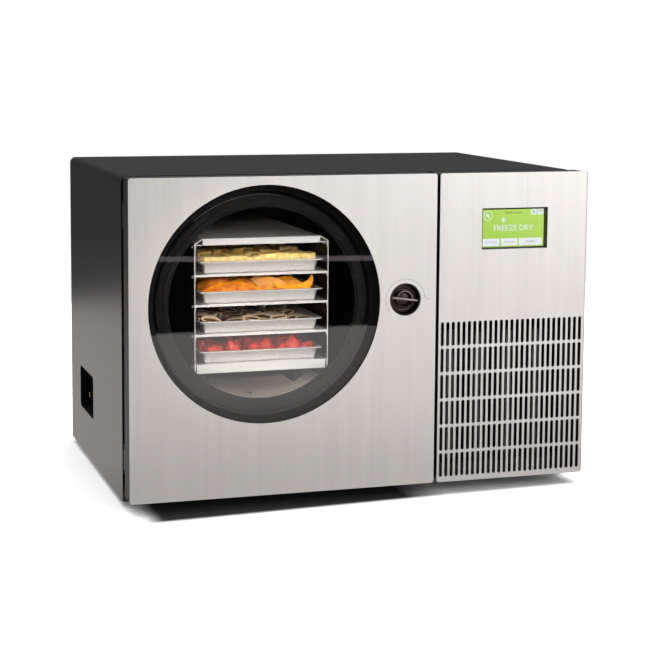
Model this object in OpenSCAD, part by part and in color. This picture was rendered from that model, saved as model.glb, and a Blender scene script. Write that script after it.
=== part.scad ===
// Countertop freeze dryer. A round vacuum chamber with a windowed door stands on the left, and a
// fixed control module with a touch screen and condenser vents on the right.
// The front faces -Y, +X points right and +Z points up. The origin lies on the surface that the
// feet stand on, below the middle of the body.

/* [Body] */
// Width of the fixed control module
control_w = 254.3; // [215:0.1:320]
// Height of the front panels
panel_h = 495; // [470:1:600]
// Depth from the front skin to the rear edge of the cover
body_d = 540; // [450:1:650]
// Height of the rubber feet below the cover
foot_h = 8; // [5:0.5:20]
// Radius of a foot
foot_r = 15; // [8:0.5:22]
// Distance from the cover's edges to a foot's centre
foot_edge = 46; // [30:1:80]
// Height of the front panels' lower edge above the cover's lower edge
panel_lift = 11.5; // [4:0.5:20]
// Gap between the door and the control module
door_gap = 5.4; // [3:0.1:10]
// Thickness of the door and the control module
front_t = 41; // [38:0.5:60]
// Open groove between the front modules and the cover
groove = 22.5; // [18:0.5:34]

/* [Sheets] */
// Thickness of the brushed front skins
skin_t = 1.2; // [0.8:0.1:2]
// Thickness of the cover
cover_t = 1.5; // [1:0.1:2.5]
// Thickness of the base pan and the bulkhead
plate_t = 2; // [1.5:0.1:3]
// Wall of the moulded door and control bodies
shell_t = 4; // [2.5:0.1:6]
// Distance of the cover's sides inside the front panels' sides
cover_inset = 1.2; // [0.5:0.1:5]
// Distance of the cover's top below the front panels' top
cover_drop = 1; // [0:0.1:4]
// Outer radius of the cover's top corners
cover_r = 10; // [6:0.5:20]
// Corner radius of the front panels
front_r = 4; // [2:0.5:10]
// Depth of the bulkhead behind the cover's front edge
bulkhead_back = 5; // [2:0.5:12]
// Height of the base pan's upturned edges
pan_h = 26; // [12:1:30]
// Depth of the back panel inside the cover's rear edge
rear_inset = 6; // [4:0.5:15]

/* [Chamber] */
// Inner radius of the vacuum chamber
chamber_r = 156; // [150:1:190]
// Wall of the chamber
chamber_wall = 3; // [2:0.5:5]
// Inner corner radius at the chamber's closed end
chamber_end_r = 40; // [10:1:80]
// Width of the rim flange at the chamber's mouth, beyond its bore
rim_w = 12; // [8:0.5:18]
// Thickness of the rim flange
rim_t = 5; // [3:0.5:8]
// Free depth between the chamber's closed end and the rear edge of the cover
rear_space = 100; // [85:1:140]
// Thickness of the sealing gasket at the chamber's mouth
gasket_t = 7.7; // [5:0.1:12]
// Radius of the evaporator tube
coil_tube_r = 4.75; // [3:0.25:6]
// Distance between two turns of the evaporator
coil_pitch = 30; // [26:1:60]
// Radius of the two headers that join the turns
header_r = 7; // [6.5:0.25:9]
// Thickness of the foam jacket
foam_t = 20; // [12:1:28]
// Free space between the foam jacket and the cover's side
foam_side_gap = 21; // [12:0.1:40]
// Free space between the foam jacket and the cover's top
foam_top_gap = 4.9; // [4:0.1:30]

/* [Window] */
// Width of the dark border between the chamber's bore and the window's edge
window_border = 28.5; // [22:0.5:30]
// Thickness of the clear window disc
disc_t = 20; // [12:0.5:22]
// Overlap of the window disc behind the steel skin
disc_lap = 6.5; // [4:0.5:7]
// Thickness of the seal between the skin and the disc
seal_t = 1.8; // [1:0.1:3]

/* [Knob] */
// Radius of the knob cup
cup_r = 25; // [20:0.5:30]
// Depth of the knob cup
cup_depth = 20; // [15:0.5:22]
// Wall of the knob cup
cup_wall = 1.2; // [0.8:0.1:2]
// Gap between the window and the knob cup
cup_gap = 16.8; // [8:0.1:40]
// Gap between the knob cup and the door's free edge
cup_edge = 26.3; // [24:0.1:60]
// Radius of the knob's round boss
boss_r = 14; // [10:0.5:18]
// Depth of the boss face below the skin's face
boss_depth = 10; // [6:0.5:14]
// Thickness of the grip bar
grip_t = 5; // [3:0.5:8]
// Depth of the grip bar's face below the skin's face
grip_depth = 2; // [0:0.5:5]
// Radius of the latch spindle
spindle_r = 6; // [4:0.5:8]
// Length of the cam at the spindle's end
cam_l = 34; // [24:1:40]

/* [Hinges] */
// Radius of the hinge pins
pin_r = 3; // [2:0.25:4]
// Radius of the hinge knuckles
knuckle_r = 6; // [5:0.25:7]
// Height of a knuckle
knuckle_h = 30; // [16:1:60]
// Thickness of a bracket arm
arm_t = 6; // [4:0.5:12]
// Distance of a hinge's middle from the upper or lower edge of the panels
hinge_edge = 60; // [35:1:90]

/* [Screen] */
// Width of the screen opening
screen_w = 114; // [90:1:140]
// Height of the screen opening
screen_h = 66; // [50:0.5:90]
// Distance from the screen opening to the panel's right edge
screen_right = 69; // [30:1:90]
// Distance from the screen opening to the panel's upper edge
screen_top = 56.5; // [30:0.5:90]
// Depth of the touch glass below the skin's face
screen_depth = 15; // [6:0.5:20]

/* [Vents] */
// Width of a vent slot
slot_w = 5.4; // [3:0.1:6]
// Length of a vent slot
slot_l = 38.4; // [20:0.1:50]
// Distance between slots in a row
slot_pitch = 9.2; // [8:0.05:14]
// Bar between two rows of slots
slot_bar = 3.95; // [3:0.05:12]
// Number of rows
slot_rows = 6; // [2:1:6]
// Distance from the lowest row to the panel's lower edge
slot_bottom = 8.5; // [8:0.5:40]
// Least distance from a slot's centre to the panel's sides
slot_side = 6.5; // [6:0.1:20]

/* [Rack] */
// Width of the shelf rack
rack_w = 214; // [190:1:225]
// Thickness of the rack's sheet
rack_t = 1.2; // [0.8:0.1:2]
// Width of the rack's slanted upper corners
rack_chamfer = 12; // [4:0.5:14]
// Clearance of the rack's lower corners to the chamber
rack_low_clear = 4.7; // [4:0.1:12]
// Clearance of the rack's upper corners to the chamber
rack_high_clear = 8.6; // [6:0.1:30]
// Distance of the rack behind the chamber's rim
rack_setback = 1.5; // [1:0.5:12]
// Space behind the rack for its cable
rack_rear_gap = 34; // [25:1:60]
// Height of the lowest shelf's front lip
low_lip = 14; // [6:0.5:20]
// Height of the highest shelf's lip, folded up to the rack's top
high_lip = 9; // [4:0.5:14]
// Height of the middle shelves' front lips
mid_lip = 3.4; // [2:0.1:6]
// Number of trays
tray_count = 4; // [4:1:4]
// Width of a tray over its rim
tray_w = 199; // [170:1:206]
// Height of a tray
tray_h = 19.5; // [12:0.1:26]
// Width of a tray's rim
tray_rim = 5.5; // [3:0.5:8]
// Inward slope of a tray's walls from top to bottom
tray_slope = 4; // [1:0.5:8]
// Wall of a tray
tray_t = 0.9; // [0.6:0.1:1.5]
// Corner radius of a tray at its upper edge
tray_r = 8; // [8:1:24]
// Clearance between a tray and the rack's front and rear ends
tray_end_gap = 1; // [0.5:0.5:12]

/* [Machine bay] */
// Radius of the compressor's can
compressor_r = 76; // [60:1:85]
// Height of the compressor's can
compressor_h = 178; // [140:1:200]
// Depth of the condenser
condenser_t = 44; // [25:1:50]
// Height of the condenser
condenser_h = 226; // [210:1:250]
// Distance between two condenser fins
fin_pitch = 8; // [5:0.5:14]
// Radius of the fan rotor
fan_r = 92; // [70:1:95]
// Depth of the fan's duct
duct_l = 34; // [30:1:50]

/* [Service side] */
// Length of the port recess in the left side
port_l = 128; // [100:1:150]
// Height of the port recess
port_h = 72; // [60:1:90]
// Depth of the port recess
port_d = 40; // [36:1:50]
// Distance from the port recess to the rear edge of the cover
port_rear = 92; // [60:1:110]
// Height of the port recess above the cover's lower edge
port_rise = 75.5; // [45:0.5:90]
// Radius of the vacuum hose fitting
hose_r = 8; // [6:0.5:10]
// Radius of the drain hose barb
barb_r = 4.5; // [3:0.25:6]

/* [Hidden] */
$fn = 72;

// clearances and fits
fit = 0.3;          // sheet to sheet and panel to panel
run = 0.05;         // radial clearance of a turning pin
rest_gap = 0.05;    // loose piece above what it rests on
seal_gap = 0.3;     // gasket to window disc with the door shut
swing_gap = 6;      // door body to chamber neck, for the door's swing
arm_gap = 0.4;      // knuckle to bracket arm
reach = 1;          // how far a cutter passes a face

// radii about the chamber's axis
drum_r = chamber_r + chamber_wall;
neck_r = chamber_r + rim_w;
coil_r = drum_r + coil_tube_r + fit;
foam_in_r = coil_r + coil_tube_r + 1.2;
foam_r = foam_in_r + foam_t;
window_r = chamber_r + window_border;
disc_r = window_r + disc_lap;
disc_fit = 0.5;     // window disc to its seat

// widths
knob_x_in = window_r + cup_gap + cup_r;                 // knob's centre right of the window's
window_x_in = cover_inset + cover_t + foam_side_gap + foam_r;
door_w = window_x_in + knob_x_in + cup_r + cup_edge;
body_w = door_w + door_gap + control_w;
left = -body_w / 2;
right = body_w / 2;
door_right = left + door_w;
control_left = door_right + door_gap;
cover_w = body_w - 2 * cover_inset;
cover_left = -cover_w / 2;
lip_w = 14;                                             // cover's inward lips under the pan
pan_w = cover_w - 2 * cover_t - 2 * fit;

// heights
panel_z = foot_h + panel_lift;
top = panel_z + panel_h;
cover_h = top - cover_drop - foot_h;
pan_z = foot_h + cover_t;
floor_z = pan_z + plate_t;
axis_z = top - cover_drop - cover_t - foam_top_gap - foam_r;

// depths
front = -body_d / 2;
back = body_d / 2;
skin_back = front + skin_t;
disc_y = skin_back + seal_t;
disc_back = disc_y + disc_t;
module_back = front + front_t;
cover_y = module_back + groove;
bulkhead_y = cover_y + bulkhead_back;
bulkhead_back_y = bulkhead_y + plate_t;
gasket_y = disc_back + seal_gap;
rim_y = gasket_y + gasket_t;
chamber_l = back - rear_space - rim_y;
foam_y = bulkhead_back_y + 2;
foam_end = back - rear_space + chamber_wall + foam_t + 2;
coil_first = foam_y + 20;                               // first turn of the evaporator
panel_back = back - rear_inset;
panel_front = panel_back - skin_t;

axis_x = left + window_x_in;
knob_x = axis_x + knob_x_in;

// hinges
hinge_x = left + knuckle_r + 1;
hinge_y = module_back + knuckle_r + 3;
hinge_zs = [panel_z + hinge_edge, top - hinge_edge];
bracket_h = knuckle_h + 2 * (arm_gap + arm_t);

// rack
rack_half = rack_w / 2;
rack_low = sqrt(pow(chamber_r - rack_low_clear, 2) - pow(rack_half, 2));
rack_high = sqrt(pow(chamber_r - rack_high_clear, 2) - pow(rack_half, 2));
rack_h = rack_low + rack_high;
rack_z = axis_z - rack_low;
rack_y = rim_y + rack_setback;
rack_l = chamber_l - rack_setback - rack_rear_gap;
shelf_step = (rack_h - low_lip - high_lip) / tray_count;
shelf_flange = 8;
mat_t = 1.5;
tray_l = rack_l - 2 * tray_end_gap;
function shelf_top(i) = rack_z + low_lip + i * shelf_step;

// vents
slot_cols = floor((control_w - 2 * slot_side) / slot_pitch) + 1;

// knob
knob_gap = 0.4;                                         // turning knob to cup floor
cup_back = front + cup_depth + cup_wall;
bearing_l = 10;                                         // sleeve behind the cup that guides the spindle
bearing_t = 4;
spindle_front = front + cup_depth - 6;
spindle_end = bulkhead_back_y + 8;
cam_t = 6;
cam_h = 13;
strike_r = cam_l / 2 + 5;
strike_wall = 2;
strike_hole = strike_r + strike_wall + 0.3;             // half-width of the cup's square hole in the bulkhead

// machine bay
neck_inset = 16;
body_set = 0.6;                                         // moulded bodies inside the skins' edges
bay_left = control_left + neck_inset + shell_t;
bay_right = right - neck_inset - shell_t;
bay_w = bay_right - bay_left;
bay_x = (bay_left + bay_right) / 2;
condenser_y = bulkhead_back_y + 6;
condenser_z = floor_z + 8;
condenser_back = condenser_y + condenser_t;
condenser_mid = condenser_y + condenser_t / 2;
tube_in = 22;                                           // condenser's end tubes from its ends
fan_z = condenser_z + condenser_h / 2;
fan_y = condenser_back + plate_t;
motor_r = 24;
motor_y = fan_y + duct_l - 5;
shaft_r = 4;
grommet_h = 14;
grommet_x = 82;
grommet_y = 52;
compressor_y = panel_front - compressor_r - 32;
compressor_z = floor_z + grommet_h + 3;
compressor_top = compressor_z + compressor_h;
supply_w = 120;
boards_h = 90;                                          // power supply and relay board
boards_z = top - 132;
line_r = 4;
line_x = bay_left - 24;
drier_r = 12;
drier_l = 90;
drier_y = fan_y + duct_l + 50;
drier_z = floor_z + 90;
header_a = 40;                                          // angle of the evaporator's headers
header_d = drum_r + fit + header_r;                     // headers' distance from the chamber's axis
header_x = axis_x + header_d * cos(header_a);
header_dz = header_d * sin(header_a);

// service side
port_y = back - port_rear - port_l;
port_z = foot_h + port_rise;
port_r = 8;
port_wall = 2;
port_x = cover_left + cover_t;
port_floor = port_x + port_d;
vacuum_y = port_y + 38;
vacuum_z = port_z + port_h * 0.6;
drain_y = port_y + port_l - 42;
drain_z = port_z + port_h * 0.36;
stub_rise = 62;                                         // chamber's rear stub below its axis
stub_end = foam_end + 6;
drain_end = axis_z - foam_r - 5;
stub_r = 10;                                            // chamber's rear vacuum stub
stub_bore = 8;
drain_r = 7;                                            // chamber's drain stub
drain_bore = 5;
drain_in_y = coil_first + coil_pitch / 2;               // between two turns of the evaporator
plug_r = 15;                                            // feedthrough's hole in the chamber
nut_r = 18;
sleeve = 0.4;                                           // foam to what passes through it
tube_r = 9;                                             // vacuum tube
tube_clear = foam_r + tube_r + 2;
tube_x = min(cover_left + port_d + 34,                  // upright run of the vacuum tube, clear of the foam
    axis_x - sqrt(max(pow(tube_clear, 2) - pow(axis_z - vacuum_z, 2), 0)));
lever_in = 11;                                          // drain lever's pivot before the recess floor
lever_pin_r = 3;
valve_r = 6;                                            // drain valve's neck

// rear fittings
inlet_x = bay_right - 26;
inlet_z = floor_z + 52;
switch_x = inlet_x - 52;
outlet_x = switch_x - 58;
inlet_w = 27.6;
inlet_h = 21.6;
switch_w = 18.6;
switch_h = 29.6;
outlet_w = 31.6;
rocker_room = 14.8;                                     // width inside the switch
rocker_in = 4;                                          // rocker's pivot inside the panel
face_t = 2.5;                                           // flange of a rear fitting
face_edge = 4;                                          // flange beyond the fitting's body

// ---------- helpers ----------

// children's Z axis laid along +Y
module to_y(x, y, z) {
    translate([x, y, z]) rotate([-90, 0, 0]) children();
}

// outline in X and Z, thickened from y0 to y1
module slab(y0, y1) {
    translate([0, y1, 0]) rotate([90, 0, 0]) linear_extrude(y1 - y0) children();
}

// outline in Y and Z, thickened from x0 to x1
module side_slab(x0, x1) {
    translate([x0, 0, 0]) rotate([90, 0, 90]) linear_extrude(x1 - x0) children();
}

module block(x0, x1, y0, y1, z0, z1) {
    translate([x0, y0, z0]) cube([x1 - x0, y1 - y0, z1 - z0]);
}

module round_rect(x0, z0, w, h, r) {
    translate([x0 + r, z0]) square([w - 2 * r, h]);
    translate([x0, z0 + r]) square([w, h - 2 * r]);
    for (x = [x0 + r, x0 + w - r], z = [z0 + r, z0 + h - r]) translate([x, z]) circle(r);
}

// rectangle between two corners, drawn in by an amount
module framed(x0, z0, x1, z1, inset, r) {
    round_rect(x0 + inset, z0 + inset, x1 - x0 - 2 * inset, z1 - z0 - 2 * inset, r);
}

// flat-bottomed outline with round upper corners, standing at z0
module arch(w, z0, h, r) {
    translate([-w / 2, z0]) square([w, h - r]);
    translate([-w / 2 + r, z0]) square([w - 2 * r, h]);
    for (s = [-1, 1]) translate([s * (w / 2 - r), z0 + h - r]) circle(r);
}

// half section of a straight pot with a rounded closed end, its mouth at y = 0
module pot(r, l, k) {
    square([r - k, l]);
    square([r, l - k]);
    translate([r - k, l - k]) circle(k);
}

module rod(a, b, r) {
    v = b - a;
    translate(a) rotate([0, acos(v[2] / norm(v)), atan2(v[1], v[0])]) cylinder(r = r, h = norm(v));
}

// straight tubes joined by ball elbows
module pipe(points, r) {
    for (i = [0 : len(points) - 2]) rod(points[i], points[i + 1], r);
    for (i = [1 : len(points) - 2]) translate(points[i]) sphere(r + 0.8);
}

// pan-head screw with a hexagon recess, its head on top of z = 0
module screw_head(r, h) {
    difference() {
        cylinder(r1 = r, r2 = r * 0.8, h = h);
        translate([0, 0, h * 0.45]) cylinder(r = r * 0.45, h = h, $fn = 6);
    }
}

// upright slot, centred
module slot(w, l) {
    square([w, l - w], center = true);
    for (s = [-1, 1]) translate([0, s * (l - w) / 2]) circle(w / 2);
}

// ---------- cabinet ----------

module cover() {
    vent_w = 60;
    vent_rows = 9;
    color("#1c1c1f") difference() {
        union() {
            slab(cover_y, back) difference() {
                arch(cover_w, foot_h, cover_h, cover_r);
                arch(cover_w - 2 * cover_t, foot_h, cover_h - cover_t, cover_r - cover_t);
            }
            block(cover_left, cover_left + lip_w, cover_y, back, foot_h, pan_z);
            block(-cover_left - lip_w, -cover_left, cover_y, back, foot_h, pan_z);
        }
        side_slab(cover_left - reach, port_x + reach) round_rect(port_y, port_z, port_l, port_h, port_r);
        // warm air outlets on the right side
        side_slab(-port_x - reach, -cover_left + reach)
            for (i = [0 : 1], j = [0 : vent_rows - 1])
                translate([back - 90 - i * (vent_w + 14), floor_z + 60 + j * 13])
                    rotate(90) slot(4.4, vent_w);
    }
}

module base_pan() {
    pan_l = panel_front - fit - cover_y;
    color("#2a2b2e") difference() {
        translate([-pan_w / 2, cover_y, pan_z]) cube([pan_w, pan_l, pan_h]);
        translate([-pan_w / 2 + plate_t, cover_y + plate_t, floor_z])
            cube([pan_w - 2 * plate_t, pan_l - 2 * plate_t, pan_h]);
        foot_places() translate([0, 0, pan_z - reach]) cylinder(r = 3.2, h = plate_t + 2 * reach);
        // air slots under the compressor
        for (i = [-3 : 3])
            translate([bay_x + i * 14, compressor_y, pan_z - reach])
                linear_extrude(plate_t + 2 * reach) slot(4, 70);
    }
}

module foot_places() {
    for (x = [cover_left + foot_edge, -cover_left - foot_edge])
        for (y = [cover_y + foot_edge, back - foot_edge])
            translate([x, y, 0]) children();
}

module feet() {
    color("#18181a") foot_places() {
        cylinder(r1 = foot_r - 2, r2 = foot_r, h = pan_z);
        cylinder(r = 3, h = floor_z + 5);
    }
}

module back_panel() {
    flange_l = 14;
    hole_gap = 0.2;
    rim_z = pan_z + pan_h + fit;                        // flange starts above the pan's edges
    color("#27282b") difference() {
        union() {
            slab(panel_front, panel_back) panel_outline(0, pan_z);
            slab(panel_back - flange_l, panel_front) difference() {
                panel_outline(0, rim_z);
                panel_outline(skin_t, rim_z - 2 * skin_t);
            }
        }
        // intake slots behind the chamber, outlet slots behind the machine bay
        slab(panel_front - reach, panel_back + reach) {
            slot_block(axis_x, top - 76, 14, 9);
            slot_block(axis_x, pan_z + pan_h + 60, 14, 9);
            slot_block(bay_x, top - 76, 10, 9);
            centred(inlet_x, inlet_w + 2 * hole_gap, inlet_h + 2 * hole_gap, 2);
            centred(switch_x, switch_w + 2 * hole_gap, switch_h + 2 * hole_gap, 2);
            centred(outlet_x, outlet_w + 2 * hole_gap, outlet_w + 2 * hole_gap, 2);
        }
    }
}

// outline that fits inside the cover, standing at z0
module panel_outline(inset, z0) {
    h = top - cover_drop - cover_t - fit - inset - z0;
    arch(pan_w - 2 * inset, z0, h, max(cover_r - cover_t - fit - inset, 1));
}

module slot_block(x, z, cols, step) {
    for (i = [0 : cols - 1], s = [-1, 1])
        translate([x + (i - (cols - 1) / 2) * step, z + s * 20]) slot(4, 34);
}

module bulkhead() {
    color("#1b1b1d") difference() {
        slab(bulkhead_y, bulkhead_back_y) difference() {
            arch(pan_w - 2 * plate_t - fit, floor_z, cover_h + foot_h - cover_t - fit - floor_z, cover_r - 2);
            translate([axis_x, axis_z]) circle(neck_r + 0.5);
            translate([knob_x, axis_z]) square(2 * strike_hole, center = true);
            framed(control_left, panel_z, right, top, neck_inset + shell_t, front_r);
        }
    }
}

module panel_screws() {
    inset = 20;
    zs = [pan_z + inset, (pan_z + top) / 2, top - inset - 8];
    color("#8c8f93") for (x = [cover_left + inset, -cover_left - inset, 0], z = zs)
        if (x != 0 || z != zs[1]) to_y(x, panel_back, z) screw_head(3.8, 1.9);
}

// ---------- chamber ----------

module chamber_drum() {
    color("#b9bcc0") difference() {
        union() {
            to_y(axis_x, rim_y, axis_z) rotate_extrude() difference() {
                union() {
                    pot(drum_r, chamber_l + chamber_wall, chamber_end_r + chamber_wall);
                    square([neck_r, rim_t]);
                }
                pot(chamber_r, chamber_l, chamber_end_r);
            }
            rod([axis_x, back - rear_space, axis_z - stub_rise],
                [axis_x, stub_end, axis_z - stub_rise], stub_r);
            rod([axis_x, drain_in_y, axis_z - chamber_r - chamber_wall / 2],
                [axis_x, drain_in_y, drain_end], drain_r);
        }
        rod([axis_x, back - rear_space - 10, axis_z - stub_rise],
            [axis_x, stub_end + reach, axis_z - stub_rise], stub_bore);
        rod([axis_x, drain_in_y, axis_z - chamber_r + 10],
            [axis_x, drain_in_y, drain_end - reach], drain_bore);
        to_y(axis_x, back - rear_space - reach, axis_z + stub_rise) cylinder(r = plug_r, h = 10);
    }
}

module neck_ring() {
    flange = 14;
    color("#151517") to_y(axis_x, rim_y + rim_t, axis_z) rotate_extrude() {
        l = bulkhead_y - rim_y - rim_t;
        translate([drum_r + fit, 0]) square([neck_r - drum_r - fit, l]);
        translate([neck_r - 1, l - 3]) square([flange + 1, 3]);
    }
}

module chamber_gasket() {
    lip_h = 2.6;
    color("#4a4643") to_y(axis_x, gasket_y, axis_z) rotate_extrude() {
        translate([chamber_r - 7, lip_h]) square([rim_w + 6, gasket_t - lip_h]);
        translate([chamber_r - 3, 0]) square([5, lip_h + reach]);
    }
}

module evaporator_coil() {
    last = back - rear_space - chamber_end_r - 8;
    turns = floor((last - coil_first) / coil_pitch);
    color("#b87346") {
        // each turn runs round the far side from one header to the other
        for (i = [0 : turns])
            to_y(axis_x, coil_first + i * coil_pitch, axis_z) rotate(header_a)
                rotate_extrude(angle = 360 - 2 * header_a) translate([coil_r, 0]) circle(coil_tube_r);
        for (s = [-1, 1])
            rod([header_x, coil_first - 10, axis_z + s * header_dz],
                [header_x, foam_end + 4, axis_z + s * header_dz], header_r);
    }
}

module foam_jacket() {
    color("#d9d4c6") difference() {
        to_y(axis_x, foam_y, axis_z) rotate_extrude() difference() {
            pot(foam_r, foam_end - foam_y, 30);
            pot(foam_in_r, foam_end - foam_t - foam_y, 12);
        }
        rod([axis_x, foam_end - foam_t - 9, axis_z - stub_rise],
            [axis_x, foam_end + reach, axis_z - stub_rise], stub_r + sleeve);
        rod([axis_x, drain_in_y, axis_z - foam_in_r + 6],
            [axis_x, drain_in_y, axis_z - foam_r - reach], drain_r + sleeve);
        to_y(axis_x, foam_end - foam_t - 9, axis_z + stub_rise) cylinder(r = nut_r + sleeve, h = foam_t + 10);
        for (s = [-1, 1])
            rod([header_x, foam_y + 8, axis_z + s * header_dz],
                [header_x, foam_end + reach, axis_z + s * header_dz], header_r + fit);
    }
}

module feedthrough() {
    color("#2f3032") to_y(axis_x, back - rear_space - 5, axis_z + stub_rise) {
        cylinder(r = plug_r - 0.2, h = foam_end - back + rear_space + 8);
        translate([0, 0, 5 + chamber_wall]) cylinder(r = nut_r, h = foam_end - back + rear_space);
    }
}

// ---------- door ----------

module door_outline(inset) {
    framed(left, panel_z, door_right, top, inset, front_r);
}

module window_disc() {
    color([0.85, 0.9, 0.9, 0.25]) to_y(axis_x, disc_y, axis_z) cylinder(r = disc_r, h = disc_t);
}

module window_seal() {
    color("#111112") to_y(axis_x, skin_back, axis_z) difference() {
        cylinder(r = disc_r - 0.5, h = seal_t);
        translate([0, 0, -reach]) cylinder(r = window_r + 1.5, h = seal_t + 2 * reach);
    }
}

module door_skin() {
    color("#c9cacb") slab(front, skin_back) difference() {
        door_outline(0);
        translate([axis_x, axis_z]) circle(window_r);
        translate([knob_x, axis_z]) circle(cup_r + 0.2);
    }
}

module door_body() {
    seat_r = disc_r + disc_fit;
    boss = 3;
    color("#1a1a1c") difference() {
        union() {
            slab(skin_back, module_back) difference() {
                door_outline(body_set);
                door_outline(body_set + shell_t);
            }
            slab(module_back - shell_t, module_back) door_outline(body_set);
            to_y(axis_x, skin_back, axis_z) cylinder(r = seat_r + boss, h = front_t - skin_t);
            to_y(knob_x, cup_back, axis_z) cylinder(r = cup_r, h = module_back - cup_back);
            // blocks that take the hinge screws
            for (z = hinge_zs)
                block(left + 4, left + 50, module_back - 16, module_back, z - knuckle_h, z + knuckle_h);
        }
        to_y(axis_x, skin_back - reach, axis_z) cylinder(r = seat_r, h = disc_back - skin_back + reach);
        to_y(axis_x, skin_back, axis_z) cylinder(r = neck_r + swing_gap, h = front_t);
        to_y(knob_x, front, axis_z) cylinder(r = spindle_r + 1, h = front_t + reach);
        to_y(knob_x, front, axis_z)
            cylinder(r = spindle_r + bearing_t + 0.2, h = cup_depth + bearing_l + 0.4);
    }
}

module door_screws() {
    gap = 18;
    xs = [left + gap, axis_x, axis_x + window_r + 6, door_right - gap];
    color("#8c8f93") for (x = xs, z = [panel_z + gap - 8, top - gap + 8])
        if (x != axis_x || z < axis_z) to_y(x, module_back, z) screw_head(3.6, 1.8);
}

module knob_cup() {
    color("#3a3532") to_y(knob_x, front, axis_z) rotate_extrude() {
        translate([cup_r - cup_wall, 0.2]) square([cup_wall, cup_depth + cup_wall - 0.2]);
        translate([spindle_r + run, cup_depth]) square([cup_r - spindle_r - run, cup_wall]);
        translate([spindle_r + run, cup_depth]) square([bearing_t, bearing_l]);
        translate([cup_r - cup_wall, skin_t]) square([cup_wall + 5, 1.4]);
    }
}

module turn_knob() {
    grip_l = 2 * (cup_r - cup_wall) - 2;
    base_y = cup_depth - knob_gap;
    color("#6b645e") difference() {
        union() {
            to_y(knob_x, front + boss_depth, axis_z) cylinder(r = boss_r, h = base_y - boss_depth);
            translate([knob_x - grip_l / 2, front + grip_depth, axis_z - grip_t / 2])
                cube([grip_l, base_y - grip_depth - 2, grip_t]);
        }
        to_y(knob_x, spindle_front, axis_z) cylinder(r = spindle_r, h = cup_depth);
    }
}

module latch_spindle() {
    color("#9a9da1") {
        to_y(knob_x, spindle_front, axis_z) cylinder(r = spindle_r, h = spindle_end - spindle_front);
        block(knob_x - cam_l / 2, knob_x + cam_l / 2, spindle_end - cam_t, spindle_end,
            axis_z - cam_h / 2, axis_z + cam_h / 2);
    }
}

module strike_cup() {
    l = spindle_end + 6 - bulkhead_y;
    plate = strike_hole + 6;
    color("#85888c") {
        to_y(knob_x, bulkhead_y, axis_z) rotate_extrude() {
            translate([strike_r, -strike_wall]) square([strike_wall, l + strike_wall]);
            translate([0, l - strike_wall]) square([strike_r + 1, strike_wall]);
        }
        slab(bulkhead_y - strike_wall, bulkhead_y) translate([knob_x, axis_z]) difference() {
            square(2 * plate, center = true);
            circle(strike_r + strike_wall / 2);
        }
    }
}

module hinge_leaves() {
    color("#3b3c3f") for (z = hinge_zs) difference() {
        union() {
            translate([hinge_x, hinge_y, z - knuckle_h / 2]) cylinder(r = knuckle_r, h = knuckle_h);
            block(hinge_x - knuckle_r, hinge_x + knuckle_r + 8, module_back, module_back + 3,
                z - knuckle_h / 2, z + knuckle_h / 2);
            block(hinge_x - knuckle_r, hinge_x + knuckle_r, module_back, hinge_y,
                z - knuckle_h / 2, z + knuckle_h / 2);
            block(hinge_x + knuckle_r + 2, hinge_x + knuckle_r + 40, module_back, module_back + 3,
                z - 25, z + 25);
        }
        translate([hinge_x, hinge_y, z - knuckle_h]) cylinder(r = pin_r + run, h = 2 * knuckle_h);
    }
}

module hinge_brackets() {
    x0 = cover_left + cover_t + 2 * fit;
    color("#3b3c3f") for (z = hinge_zs) difference() {
        union() {
            block(x0, x0 + 30, bulkhead_y - 3, bulkhead_y, z - bracket_h / 2, z + bracket_h / 2);
            for (s = [-1, 1]) {
                z0 = s > 0 ? z + knuckle_h / 2 + arm_gap : z - bracket_h / 2;
                translate([hinge_x, hinge_y, z0]) cylinder(r = knuckle_r, h = arm_t);
                block(x0, hinge_x + knuckle_r, hinge_y, bulkhead_y - 2, z0, z0 + arm_t);
            }
        }
        translate([hinge_x, hinge_y, z - bracket_h]) cylinder(r = pin_r, h = 2 * bracket_h);
    }
}

module hinge_pins() {
    color("#a4a7ab") for (z = hinge_zs) translate([hinge_x, hinge_y, z - bracket_h / 2 - 1])
        cylinder(r = pin_r, h = bracket_h + 2);
}

// ---------- control module ----------

module control_outline(inset) {
    framed(control_left, panel_z, right, top, inset, front_r);
}

module screen_outline(inset) {
    framed(right - screen_right - screen_w, top - screen_top - screen_h,
        right - screen_right, top - screen_top, inset, 1.2);
}

module control_skin() {
    color("#d2d3d3") slab(front, skin_back) difference() {
        control_outline(0);
        screen_outline(0);
        for (i = [0 : slot_cols - 1], j = [0 : slot_rows - 1])
            translate([control_left + slot_side + i * slot_pitch,
                panel_z + slot_bottom + slot_l / 2 + j * (slot_l + slot_bar)]) slot(slot_w, slot_l);
    }
}

module control_body() {
    color("#1a1a1c") {
        slab(skin_back, module_back) difference() {
            control_outline(body_set);
            control_outline(body_set + shell_t);
        }
        slab(module_back - shell_t, module_back) difference() {
            control_outline(body_set);
            control_outline(neck_inset + shell_t);
        }
        slab(module_back - reach, bulkhead_y) difference() {
            control_outline(neck_inset);
            control_outline(neck_inset + shell_t);
        }
    }
}

module display_bezel() {
    color("#0f0f10") slab(skin_back, front + screen_depth) difference() {
        screen_outline(-3);
        screen_outline(-0.2);
    }
}

module touch_glass() {
    color("#20241c") slab(front + screen_depth, front + screen_depth + 1.4) screen_outline(-3);
}

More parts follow.
